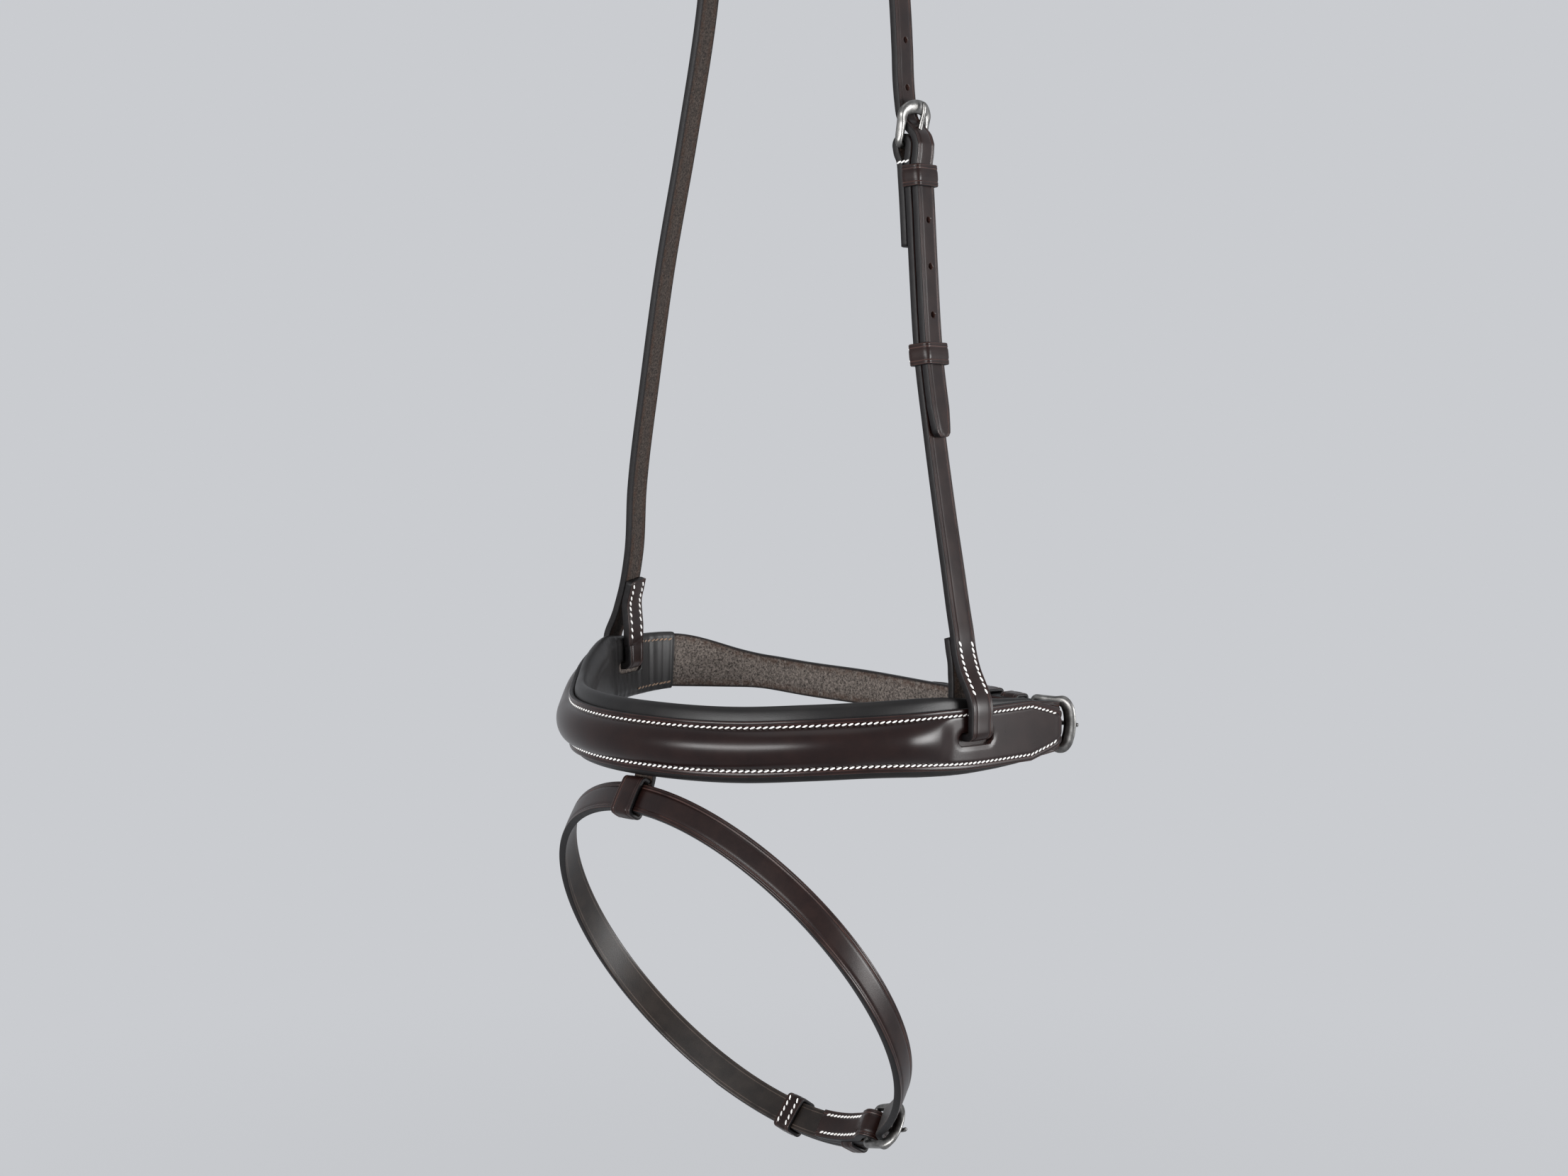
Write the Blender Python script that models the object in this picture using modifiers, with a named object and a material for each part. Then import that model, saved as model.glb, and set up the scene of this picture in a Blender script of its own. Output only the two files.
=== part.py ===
"""Padded flash noseband: a raised and lined noseband on its head strap, with a
buckled chin strap behind and a thin flash strap below, hanging as when it is
held up by the poll.

Metres, +Z up. The origin is the under side of the crown, where the head strap
lies over the poll. -Y is the front of the nose and +X the near (left) side.
"""
import math

import bmesh
import bpy
import numpy as np
from mathutils import Matrix, Vector

# Clearances
LAYER_GAP = 0.0003
KEEPER_PLAY = 0.0005
SLOT_PLAY = 0.0008
LOOP_PLAY = 0.0009
HOLE_PLAY = 0.0005
OVERRUN = 0.004
WELD = 0.00001
PROFILE_TOLERANCE = 0.00008
ROW_SPACING = 0.0006

# Thin straps: head strap, cheek strap and flash strap
STRAP_WIDTH = 0.0127
STRAP_THICK = 0.0033
STRAP_EDGE = 0.0006
STRAP_STEP = 0.0127
HOLE_RADIUS = 0.0017
HOLE_PITCH = 0.020

# Chin strap: the tail with the rear buckle and the billet that it takes
CHIN_WIDTH = 0.016
CHIN_THICK = 0.0030
CHIN_TAPER = 0.050

# Nose line, seen from above, and how its parts rise above the nose
NOSE_RADIUS = 0.101
NEAR_TURN = math.radians(90)
FAR_FRONT_TURN = math.radians(45)
FAR_FLANK_TURN = math.radians(24)
SLOT_TO_LINING_END = 0.0365
SLOT_TO_TIP = 0.0575
SLOT_TO_CORNER = 0.0655
REAR_TURN = math.radians(4)
FAR_END_TURN = math.radians(30)
CORNER_RADIUS = 0.012
BEND_RADIUS = 0.042
FAR_RISE = 0.0144
LINE_STEP = 0.001

# Noseband section
FACE_NOSE_HALF = 0.0118
FACE_SLOT_HALF = 0.0131
FACE_WIDENS_AT = 0.100
FACE_TIP_HALF = 0.0066
FACE_THICK = 0.0022
SEAM_INSET = 0.0028
ROLL_RISE = 0.0056
ROLL_END = 0.142
ROLL_TAPER = 0.032
ROLL_SEAM_GAP = 0.0012
LINING_THICK = 0.0009
LINING_TOP = 0.0050
LINING_BOTTOM = 0.0024
LINING_TOP_AT_SLOT = 0.0014
LINING_BOTTOM_AT_SLOT = 0.0016
LIP_WIDTH = 0.0032
LIP_AT_SLOT = 0.0010
PAD_DEPTH = 0.0082
FOAM_END = 0.130
ROOT_START = 0.1425
SLOT_LENGTH = 0.021
SLOT_HEIGHT = 0.006
BAND_STEP = 0.010
FACE_COLUMNS = 9

# Head strap
HEAD_DROP = 0.4550
STRAP_STAND_OFF = 0.0005
SLOT_STRAP_RISE = SLOT_HEIGHT / 2 - SLOT_PLAY - STRAP_THICK / 2
CROWN_TWIST = math.radians(10)
LOOP_BEND = 0.0026
RETURN_LENGTH = 0.044

# Buckles: a bar wire bent to a frame, and a tongue that lies over its front
BUCKLE_WIRE = 0.00175
FRONT_WIRE = 0.00225
HEEL_WIRE = 0.0015
TONGUE_WIRE = 0.0012
BUCKLE_SIDE_PLAY = 0.0006
BUCKLE_CORNER = 0.0034
TONGUE_REACH = 0.0024
BAR_PLAY = 0.0006
BILLET_LIFT = 0.0001
BILLET_WRAP = math.radians(32)
TONGUE_SWING = math.radians(7.5)
FRONT_BOW = 0.0012
FRONT_DOME = 0.0010
HEAD_FRAME_LENGTH = 0.0156
CHIN_FRAME_LENGTH = 0.0172

# Cheek closure, measured up the strap from the near slot
CHEEK_HEEL_REACH = 0.2547
CHEEK_HEEL_SINK = (STRAP_THICK + LAYER_GAP) / 2
CHEEK_TILT = math.radians(15)
CHEEK_CHAPE = 0.043
CHEEK_FIXED_AT = 0.0135
CHEEK_RUNNER_AT = 0.0895
CHEEK_BILLET = 0.125

# Rear closure, measured along the tail from the rear corner
REAR_HEEL_REACH = 0.0149
REAR_TILT = math.radians(9)
REAR_CHAPE = 0.046
REAR_FIXED_AT = 0.0145
REAR_RUNNER_AT = 0.0290
REAR_BILLET = 0.078

# Flash strap: a round loop that hangs back and down from below the nose
FLASH_RADIUS_ACROSS = 0.0985
FLASH_RADIUS_DOWN = 0.0935
FLASH_DROOP = math.radians(57)
FLASH_HEADING = math.radians(84)
FLASH_LEAN = math.radians(32)
FLASH_DROP = 0.0245
FLASH_SET_BACK = 0.0010
FLASH_SHIFT = 0.0045
FLASH_HEEL_ANGLE = math.radians(26)
FLASH_HEEL_SINK = (STRAP_THICK + LAYER_GAP) / 2
FLASH_TILT = math.radians(14)
FLASH_CHAPE = 0.040
FLASH_FIXED_AT = 0.0190
FLASH_RUNNER_AT = 0.0640
FLASH_BILLET = 0.122
FLASH_LOOP_WIDTH = 0.012
FLASH_LOOP_THICK = 0.0018
FLASH_LOOP_END_SHARE = 0.12

# Keepers
KEEPER_LENGTH = 0.0094
KEEPER_THICK = 0.0016
KEEPER_CORNER = 0.0016

# Rise of the nose line, as shares of the far side's rise: from the nose centre
# to the rear corner, along the tail, and from the far slot back to the centre.
NEAR_RISE_SHARES = [
    (0.0, -0.05), (0.24, -0.05), (0.36, 0.03), (0.49, 0.08), (0.60, 0.07), (0.71, 0.03),
    (0.87, 0.02), (1.0, 0.0)]
TAIL_RISE_SHARES = [(0.19, 0.174), (0.33, 0.29), (0.50, 0.43), (0.70, 0.514), (0.85, 0.67)]
FAR_RISE_SHARES = [
    (1.23, 1.0), (1.0, 1.0), (0.92, 0.972), (0.70, 0.625), (0.567, 0.21), (0.444, 0.05),
    (0.2, -0.03), (0.0, -0.05)]

# Head strap line as shares: of the drop from crown to slot, and of the reach
# from the middle out to the slot.
NEAR_LINE_SHARES = [
    (0.938, 0.932), (0.900, 0.882), (0.844, 0.820), (0.787, 0.761), (0.717, 0.698), (0.647, 0.642), (0.568, 0.605), (0.502, 0.579),
    (0.455, 0.557), (0.423, 0.540), (0.379, 0.504), (0.317, 0.468),
    (0.242, 0.442), (0.172, 0.411), (0.106, 0.358), (0.055, 0.271),
    (0.0165, 0.143)]
FAR_LINE_SHARES = [
    (0.0155, 0.127), (0.053, 0.241), (0.105, 0.321), (0.189, 0.375),
    (0.330, 0.439), (0.460, 0.545), (0.593, 0.669), (0.696, 0.750),
    (0.812, 0.836), (0.880, 0.868), (0.912, 0.900), (0.937, 0.938)]
# Turns from the crown's twist (0) to the slot's own direction (1).
NEAR_PLACE_SHARES = [(0.0, 0.0), (0.32, 0.0), (0.65, 0.5), (0.8, 0.72), (0.94, 1.0), (1.0, 1.0)]
FAR_PLACE_SHARES = [(0.0, 0.0), (0.32, 0.0), (0.58, 0.4), (0.8, 0.72), (0.94, 1.0), (1.0, 1.0)]
NEAR_SIDE_SHARES = [(0.0, 0.0), (0.45, 0.1), (0.65, 0.2), (0.8, 0.4), (0.93, 1.0), (1.0, 1.0)]
FAR_SIDE_SHARES = [(0.0, 0.0), (0.35, 1.0), (0.58, 3.0), (0.8, 3.4), (0.93, 1.6), (1.0, 1.0)]

# Lining section as shares of the pad's depth and of its stand above the face.
# The back's last share is its height where the lining lies flat at the slots.
LINING_EDGE_SHARES = [(0.05, 0.62), (0.22, 0.98), (0.52, 0.95), (0.78, 0.42)]
LINING_BACK_SHARES = [(0.91, 0.86, 0.98), (0.98, 0.45, 0.5), (1.0, 0.0, 0.0)]

# Buckle wire: stations on the heel bar, and thickness along the frame.
HEEL_SHARES = [-0.45, 0.0, 0.45]
FRONT_SHARES = [0.75, 0.4, 0.0]
WIRE_SHARES = [
    (0.0, HEEL_WIRE / BUCKLE_WIRE), (0.2, 1.0), (0.75, 1.0), (1.0, FRONT_WIRE / BUCKLE_WIRE)]

# Extra stations as shares: past the lining's end, and back from the roll's end.
TIP_STATION_SHARES = [0.3, 0.6, 0.85, 0.95, 1.0]
ROLL_STATION_SHARES = [0.0, 0.2, 0.45, 0.7]

# Chape beside the heel bar: distance in fold radii, and share of its rise.
CHAPE_TOP_SHARES = [(-4.2, 0.0), (-3.0, 0.0), (-2.2, 0.10), (-1.1, 0.64), (0.0, 1.0)]
CHAPE_UNDER_SHARES = [(0.0, 0.0), (-1.0, 0.24), (-1.9, 0.88), (-2.45, 1.0), (-3.6, 1.0)]

# Loop return above the band: from its end down, and share of the inner set-back.
RETURN_SHARES = [
    (1.0, 0.0), (0.85, 0.0), (0.66, 0.03), (0.46, 0.29), (0.26, 0.71), (0.09, 0.97), (0.0, 1.0)]

FLASH_LEAD_SHARES = [0.3, 0.6, 1.0]
CROWN_LEAD_SHARES = [0.06, 0.2, 0.6, 1.0]

# Billet from above the heel bar down to below the front bar.
BILLET_FALL_SHARES = [(0.28, 0.36), (0.58, 0.80), (0.86, 0.985), (1.0, 1.0), (1.25, 1.0)]

# Strap tips as shares of the strap's width: from the end, and half width.
POINT_TIP_SHARES = [(0.0, 0.10), (0.12, 0.24), (0.45, 0.38), (0.85, 0.47), (1.2, 0.50)]
SQUARE_TIP_SHARES = [(0.0, 0.27), (0.07, 0.36), (0.45, 0.44), (0.95, 0.50)]

BLACK_LEATHER = (0.016, 0.013, 0.014)
HAVANA = (0.030, 0.016, 0.013)
FLESH = (0.075, 0.055, 0.045)
FOAM = (0.10, 0.10, 0.10)
STEEL = (0.46, 0.45, 0.43)


def clear_scene():
    for obj in list(bpy.data.objects):
        bpy.data.objects.remove(obj, do_unlink=True)


def new_collection(name):
    collection = bpy.data.collections.new(name)
    bpy.context.scene.collection.children.link(collection)
    return collection


def material(name, colour, roughness, metallic=0.0):
    mat = bpy.data.materials.new(name)
    mat.use_nodes = True
    shader = mat.node_tree.nodes["Principled BSDF"]
    shader.inputs["Base Color"].default_value = (*colour, 1.0)
    shader.inputs["Roughness"].default_value = roughness
    shader.inputs["Metallic"].default_value = metallic
    return mat


# Curves and lines

def smooth_curve(points, per_span=12):
    """Curve through the points, with slopes weighted by the spans' lengths."""
    pts = np.array([tuple(p) for p in points], float)
    span = np.linalg.norm(np.diff(pts, axis=0), axis=1)[:, None]
    slope = np.diff(pts, axis=0) / span
    inner = (slope[:-1] * span[1:] + slope[1:] * span[:-1]) / (span[:-1] + span[1:])
    slopes = np.vstack([slope[:1], inner, slope[-1:]])
    out = []
    for a, b, m, n, h in zip(pts[:-1], pts[1:], slopes[:-1], slopes[1:], span[:, 0]):
        for t in np.arange(per_span) / per_span:
            out.append((1 + 2 * t) * (1 - t) ** 2 * a + t * (1 - t) ** 2 * h * m
                       + t ** 2 * (3 - 2 * t) * b - t ** 2 * (1 - t) * h * n)
    out.append(pts[-1])
    return np.array(out)


def arc(centre, radius, start, end, count):
    angles = np.linspace(start, end, count)
    return [(centre[0] + radius * math.cos(a), centre[1] + radius * math.sin(a)) for a in angles]


def lengths(points):
    steps = np.linalg.norm(np.diff(points, axis=0), axis=1)
    return np.concatenate([[0.0], np.cumsum(steps)])


def resample(points, step):
    run = lengths(points)
    count = max(2, int(round(run[-1] / step)) + 1)
    marks = np.linspace(0.0, run[-1], count)
    return np.stack([np.interp(marks, run, points[:, k]) for k in range(points.shape[1])], axis=1)


def unit(vector):
    return vector / np.linalg.norm(vector)


def blend(shares, value):
    return float(np.interp(value, [s[0] for s in shares], [s[1] for s in shares]))


class Line:
    """A route through space with a strap's side direction at every point.

    place(along, out, side) measures along the route, outwards from it and
    sideways across the strap. On a closed route, along may be negative.
    """

    def __init__(self, points, sides, step, middle=0.0, closed=False):
        self.closed = closed
        self.points = np.array(points, float)
        self.run = lengths(self.points)
        self.length = float(self.run[-1])
        first = np.arange(0.0, middle + step / 2, step)
        last = self.length - np.arange(0.0, self.length - middle - step / 2, step)
        self.stations = np.concatenate([first, last[::-1]])
        if closed:
            self.stations = np.concatenate([self.stations - self.length, self.stations])
        self.tangents = np.gradient(self.points, self.run, axis=0)
        self.tangents /= np.linalg.norm(self.tangents, axis=1)[:, None]
        sides = np.array(sides, float)
        sides = sides - (sides * self.tangents).sum(1)[:, None] * self.tangents
        self.sides = sides / np.linalg.norm(sides, axis=1)[:, None]

    def _read(self, table, along):
        along = along % self.length if self.closed else along
        return np.array([np.interp(along, self.run, table[:, k]) for k in range(3)])

    def frame(self, along):
        tangent = unit(self._read(self.tangents, along))
        side = self._read(self.sides, along)
        side = unit(side - side.dot(tangent) * tangent)
        return self._read(self.points, along), tangent, np.cross(tangent, side), side

    def place(self, along, out=0.0, side=0.0):
        point, _, outward, across = self.frame(along)
        return point + out * outward + side * across

    def locate(self, point, low, high):
        marks = np.linspace(low, high, 400)
        spots = np.array([self.place(m) for m in marks])
        best = int(np.argmin(np.linalg.norm(spots - point, axis=1)))
        _, _, outward, _ = self.frame(marks[best])
        return marks[best], float((point - spots[best]).dot(outward))


def plan_arc(start, heading, length, turn):
    """Plan points of an arc from a start and heading, and where it ends."""
    count = max(2, int(round(length / LINE_STEP)) + 1)
    marks = np.linspace(0.0, 1.0, count)
    headings = heading + turn * marks
    mids = (headings[1:] + headings[:-1]) / 2
    steps = np.stack([np.cos(mids), np.sin(mids)], axis=1) * length / (count - 1)
    points = np.vstack([start, start + np.cumsum(steps, axis=0)])
    return points, points[-1], heading + turn


def near_side_plan():
    """Near half of the nose line, from the nose centre to the rear corner."""
    front, end, heading = plan_arc(
        np.array([0.0, -NOSE_RADIUS]), 0.0, NOSE_RADIUS * NEAR_TURN, NEAR_TURN)
    rear, corner, heading = plan_arc(end, heading, SLOT_TO_CORNER, REAR_TURN)
    return np.vstack([front, rear[1:]]), corner, heading


def far_side_plan():
    """Far half, from the nose centre back to where the tail starts to bend."""
    start = np.array([0.0, -NOSE_RADIUS])
    front, end, heading = plan_arc(start, math.pi, NOSE_RADIUS * FAR_FRONT_TURN, -FAR_FRONT_TURN)
    flank, end, heading = plan_arc(
        end, heading, NOSE_RADIUS * (NEAR_TURN - FAR_FRONT_TURN), -FAR_FLANK_TURN)
    rear, end, heading = plan_arc(end, heading, SLOT_TO_LINING_END, -FAR_END_TURN)
    return np.vstack([front, flank[1:], rear[1:]]), end, heading


def tail_plan(corner, end, heading):
    """Bend behind the far side, and the straight tail from it to the corner."""
    centre = end + BEND_RADIUS * np.array([math.sin(heading), -math.cos(heading)])
    reach = corner - centre
    distance = np.linalg.norm(reach)
    straight = math.atan2(reach[1], reach[0]) + math.asin(BEND_RADIUS / distance)
    straight -= 2 * math.asin(BEND_RADIUS / distance)
    turn = heading - straight
    bend, tangent_point, _ = plan_arc(end, heading, BEND_RADIUS * turn, -turn)
    return bend, tangent_point, straight


def corner_fillet(corner, heading_in, heading_out):
    turn = heading_out - heading_in
    reach = CORNER_RADIUS * math.tan(turn / 2)
    start = corner - reach * np.array([math.cos(heading_in), math.sin(heading_in)])
    points, _, _ = plan_arc(start, heading_in, CORNER_RADIUS * turn, turn)
    return points, reach


def cut_end(points, reach):
    run = lengths(points)
    return points[run < run[-1] - reach - LINE_STEP / 2]


def nose_line():
    """The closed nose line, from the nose centre round the near side."""
    near, corner, heading = near_side_plan()
    far, far_end, far_heading = far_side_plan()
    bend, tangent_point, straight = tail_plan(corner, far_end, far_heading)
    fillet, reach = corner_fillet(corner, heading, straight + math.pi)
    tail = resample(np.array([fillet[-1], tangent_point]), LINE_STEP)
    plan = np.vstack([cut_end(near, reach), fillet, tail[1:-1], bend[::-1], far[::-1][1:]])
    run = lengths(plan)
    marks = {
        "near_slot": NOSE_RADIUS * NEAR_TURN,
        "corner": len(cut_end(near, reach)) * LINE_STEP + CORNER_RADIUS * (
            straight + math.pi - heading) / 2,
        "far_slot": run[-1] - NOSE_RADIUS * NEAR_TURN,
        "bend": run[-1] - NOSE_RADIUS * NEAR_TURN - SLOT_TO_LINING_END,
        "full": run[-1]}
    corner, bend, full = marks["corner"], marks["bend"], marks["full"]
    rise = smooth_curve(
        [(corner * along, FAR_RISE * up) for along, up in NEAR_RISE_SHARES]
        + [(corner + (bend - corner) * along, FAR_RISE * up) for along, up in TAIL_RISE_SHARES]
        + [(full - marks["near_slot"] * along, FAR_RISE * up) for along, up in FAR_RISE_SHARES])
    level = -HEAD_DROP + np.interp(run, rise[:, 0], rise[:, 1])
    points = np.column_stack([plan, level])
    upright = np.tile([0.0, 0.0, 1.0], (len(points), 1))
    return Line(points, upright, BAND_STEP, marks["corner"], True), marks


def strap_hang(nose, mark):
    """Reach, turns and level at which a head strap meets its slot."""
    point, _, outward, _ = nose.frame(mark)
    outward_place = nose.place(mark, FACE_THICK + STRAP_STAND_OFF + STRAP_THICK / 2)
    level = point[2] + SLOT_STRAP_RISE
    place_turn = math.atan2(outward_place[1], outward_place[0])
    reach = float(np.hypot(*outward_place[:2]))
    return reach, place_turn, math.atan2(outward[1], outward[0]), level


def turn_between(start, end, share):
    difference = (end - start + math.pi) % (2 * math.pi) - math.pi
    return start + difference * share


def strap_run(shares, hang, crown_turn, place_shares, side_shares, top_level):
    """Points and side directions of one side of the head strap."""
    reach, place_turn, face_turn, level = hang
    upright = (FACE_SLOT_HALF - SLOT_STRAP_RISE) / HEAD_DROP
    rows = [(1.0, 1.0), (1.0 - upright / 2, 1.0), (1.0 - upright, 1.0)]
    rows = rows + list(shares) if shares[0][0] > shares[-1][0] else list(shares) + rows[::-1]
    points, sides = [], []
    for drop, out in rows:
        turn = turn_between(crown_turn, place_turn, blend(place_shares, drop))
        face = turn_between(crown_turn, face_turn, blend(side_shares, drop))
        radius = out * reach
        points.append((radius * math.cos(turn), radius * math.sin(turn), drop * level + (
            1.0 - drop) * top_level))
        sides.append((-math.sin(face), math.cos(face), 0.0))
    return points, sides


def head_line(nose, marks):
    """The head strap's line, from the near slot over the crown to the far."""
    near = strap_hang(nose, marks["near_slot"])
    far = strap_hang(nose, marks["far_slot"])
    top = STRAP_THICK / 2
    near_points, near_sides = strap_run(
        NEAR_LINE_SHARES, near, CROWN_TWIST, NEAR_PLACE_SHARES, NEAR_SIDE_SHARES, top)
    far_points, far_sides = strap_run(
        FAR_LINE_SHARES, far, CROWN_TWIST + math.pi, FAR_PLACE_SHARES, FAR_SIDE_SHARES, top)
    crown_side = (-math.sin(CROWN_TWIST), math.cos(CROWN_TWIST), 0.0)
    far_sides = [tuple(-c for c in side) for side in far_sides]
    points = near_points + [(0.0, 0.0, top)] + far_points
    sides = near_sides + [crown_side] + far_sides
    rows = np.hstack([np.array(points), np.array(sides)])
    fine = smooth_curve(rows, 24)
    return Line(fine[:, :3], -fine[:, 3:], STRAP_STEP)


def flash_line(nose):
    """The flash strap's loop, from the nose centre round the near side."""
    slope = np.array([
        math.cos(FLASH_HEADING) * math.cos(FLASH_DROOP),
        math.sin(FLASH_HEADING) * math.cos(FLASH_DROOP), -math.sin(FLASH_DROOP)])
    across = np.array([math.sin(FLASH_HEADING), -math.cos(FLASH_HEADING), 0.0])
    top = nose.place(0.0, -FLASH_SET_BACK, -FLASH_DROP) - FLASH_SHIFT * across
    centre = top + FLASH_SHIFT * across + FLASH_RADIUS_DOWN * slope
    angles = np.linspace(math.pi, -math.pi, 721)
    points = [centre + FLASH_RADIUS_ACROSS * math.sin(a) * across
              + FLASH_RADIUS_DOWN * math.cos(a) * slope for a in angles]
    side = np.array([0.0, math.sin(FLASH_LEAN), math.cos(FLASH_LEAN)])
    line = Line(points, np.tile(side, (len(points), 1)), STRAP_STEP, closed=True)
    heel = line.run[np.argmin(abs(angles - FLASH_HEEL_ANGLE))]
    return line, float(heel)


# Strap profiles, as points along and out from a line

def chape_rows(heel, sink, sense, thick, lead, back):
    """Outer layer up to the heel bar, round it, and the return under it.

    sense is 1 where the frame points up the line and -1 where it points down.
    """
    pitch = thick + LAYER_GAP
    radius = HEEL_WIRE + LAYER_GAP + thick / 2
    outer = np.vstack([[(-lead, 0.0)], chape_top(sink, radius)])
    fold = arc((0.0, -sink), radius, math.pi / 2, -math.pi / 2, 11)
    under = smooth_curve([
        (radius * out, -sink - radius + (sink + radius - pitch) * up)
        for out, up in CHAPE_UNDER_SHARES], 8)
    rows = np.vstack([outer[:-1], fold, under[1:], [(-back, -pitch)]])
    return np.column_stack([heel + sense * rows[:, 0], rows[:, 1]])


def chape_top(sink, radius):
    """Middle of the chape's outer layer where it rises to the heel bar."""
    return smooth_curve([(radius * out, (radius - sink) * up) for out, up in CHAPE_TOP_SHARES], 8)


def billet_rows(heel, sink, front, sense, thick, length, lead_out):
    """From the billet's tip back over the heel bar and under the front bar.

    front is the front bar's place as (along, out).
    """
    pitch = thick + LAYER_GAP
    radius = HEEL_WIRE + LAYER_GAP + thick / 2
    ahead = sense * (front[0] - heel)
    under = front[1] - FRONT_WIRE - BAR_PLAY - thick / 2
    fold = arc((0.0, -sink), radius, math.pi / 2, math.pi / 2 - BILLET_WRAP, 4)
    over = inset_outline(np.vstack([chape_top(sink, radius), fold[1:]]), pitch + BILLET_LIFT)
    start = over[-1]
    reach, fall = ahead - start[0], start[1] - under
    down = [(start[0] + reach * out, start[1] - fall * down) for out, down in BILLET_FALL_SHARES]
    rows = np.vstack([
        [(-length, pitch)], over[:-4], smooth_curve([over[-4], start, *down, *lead_out], 8)])
    return np.column_stack([heel + sense * rows[:, 0], rows[:, 1]])


def loop_levels():
    """Heights above a slot, and set-back shares, where a loop's return joins."""
    top = FACE_SLOT_HALF + LINING_TOP_AT_SLOT + LINING_THICK - SLOT_STRAP_RISE
    return [(top + (RETURN_LENGTH - top) * up, across) for up, across in RETURN_SHARES]


def loop_rows(end, sense):
    """A strap end that loops through its slot and returns up the inner side.

    Rows run from the end of the return to the outer layer above the slot.
    """
    pitch = STRAP_THICK + LAYER_GAP
    layers = FACE_THICK + CHIN_THICK + LINING_THICK + 3 * LAYER_GAP
    inner = -(STRAP_THICK + STRAP_STAND_OFF + layers + SLOT_PLAY)
    above = [(height, -pitch + (inner + pitch) * across) for height, across in loop_levels()]
    under = smooth_curve([*above, (above[-1][0] / 2, inner), (LOOP_BEND, inner)], 6)
    inside = arc((LOOP_BEND, inner + LOOP_BEND), LOOP_BEND, -math.pi / 2, -math.pi, 6)
    outside = arc((LOOP_BEND, -LOOP_BEND), LOOP_BEND, math.pi, math.pi / 2, 6)
    rows = np.vstack([under[:-1], inside, outside])
    return np.column_stack([end + sense * rows[:, 0], rows[:, 1]])


def needed_rows(rows, low, high):
    """Indices between two rows without which the profile would shift."""
    chord = rows[high] - rows[low]
    reach = rows[low:high + 1] - rows[low]
    share = np.clip(reach @ chord / max(chord @ chord, WELD ** 2), 0.0, 1.0)
    off = np.linalg.norm(reach - share[:, None] * chord, axis=1)
    worst = low + int(np.argmax(off))
    if high - low < 2 or off.max() < PROFILE_TOLERANCE:
        return []
    return needed_rows(rows, low, worst) + [worst] + needed_rows(rows, worst, high)


def station_rows(line, rows):
    """Rows at the line's stations, and where the profile itself turns.

    Straps that lie on each other share the stations, so their gap stays even.
    """
    run = lengths(rows)
    kept = [0.0] + [run[k] for k in needed_rows(rows, 0, len(rows) - 1)]
    for k in range(len(rows) - 1):
        low, high = sorted((rows[k][0], rows[k + 1][0]))
        for mark in line.stations[(line.stations > low) & (line.stations <= high)]:
            share = (mark - rows[k][0]) / (rows[k + 1][0] - rows[k][0])
            kept.append(run[k] + share * (run[k + 1] - run[k]))
    marks = [kept[0]]
    for mark in sorted(kept + [run[-1]]):
        if mark - marks[-1] > ROW_SPACING:
            marks.append(mark)
    marks[-1] = run[-1]
    return np.stack([np.interp(marks, run, rows[:, c]) for c in range(2)], axis=1)


# Making solids

def link(obj, collection, mat=None):
    collection.objects.link(obj)
    if mat:
        obj.data.materials.append(mat)
    return obj


def add_bevel(obj, width, limit=math.radians(50)):
    if not width:
        return
    bevel = obj.modifiers.new("edges", "BEVEL")
    bevel.width = width
    bevel.segments = 1
    bevel.limit_method = "ANGLE"
    bevel.angle_limit = limit
    bevel.use_clamp_overlap = True


def add_cut(obj, cutter):
    cut = obj.modifiers.new("cut " + cutter.name, "BOOLEAN")
    cut.operation = "DIFFERENCE"
    cut.solver = "EXACT"
    cut.object = cutter


def sheet(name, rows, thick, mat, collection, edge=STRAP_EDGE, origin=(0.0, 0.0, 0.0)):
    """A leather sheet of even thickness, as a grid laid on rows of points."""
    bm = bmesh.new()
    bmesh.ops.create_grid(bm, x_segments=len(rows) - 1, y_segments=len(rows[0]) - 1, size=1.0)
    for vert in bm.verts:
        i = round((vert.co.x + 1.0) / 2.0 * (len(rows) - 1))
        j = round((vert.co.y + 1.0) / 2.0 * (len(rows[0]) - 1))
        vert.co = Vector(rows[i][j]) - Vector(origin)
    mesh = bpy.data.meshes.new(name)
    bm.to_mesh(mesh)
    bm.free()
    obj = link(bpy.data.objects.new(name, mesh), collection, mat)
    obj.location = origin
    solid = obj.modifiers.new("thickness", "SOLIDIFY")
    solid.thickness = thick
    solid.offset = 0.0
    solid.use_even_offset = True
    add_bevel(obj, edge)
    return obj


def ribbon_points(line, rows, half_widths):
    """Edges of a strap whose middle follows rows of (along, out) on a line."""
    middles = np.array([line.place(along, out) for along, out in rows])
    tangents = np.gradient(middles, axis=0)
    edges = []
    for (along, _), middle, tangent, half in zip(rows, middles, tangents, half_widths):
        tangent = unit(tangent)
        side = line.frame(along)[3]
        side = unit(side - side.dot(tangent) * tangent)
        edges.append([middle - half * side, middle + half * side])
    return edges


def tip_half(distance, width, shares):
    """Half width of a strap at a distance from its shaped tip."""
    return width * blend(shares, distance / width)


def tip_marks(width, shares):
    return [share[0] * width for share in shares]


def insert_marks(rows, run_marks):
    """Add rows at the given distances from the first row."""
    run = lengths(rows)
    marks = sorted(set(np.round(np.concatenate([run, run_marks]), 7)))
    return np.stack([np.interp(marks, run, rows[:, k]) for k in range(2)], axis=1)


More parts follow.
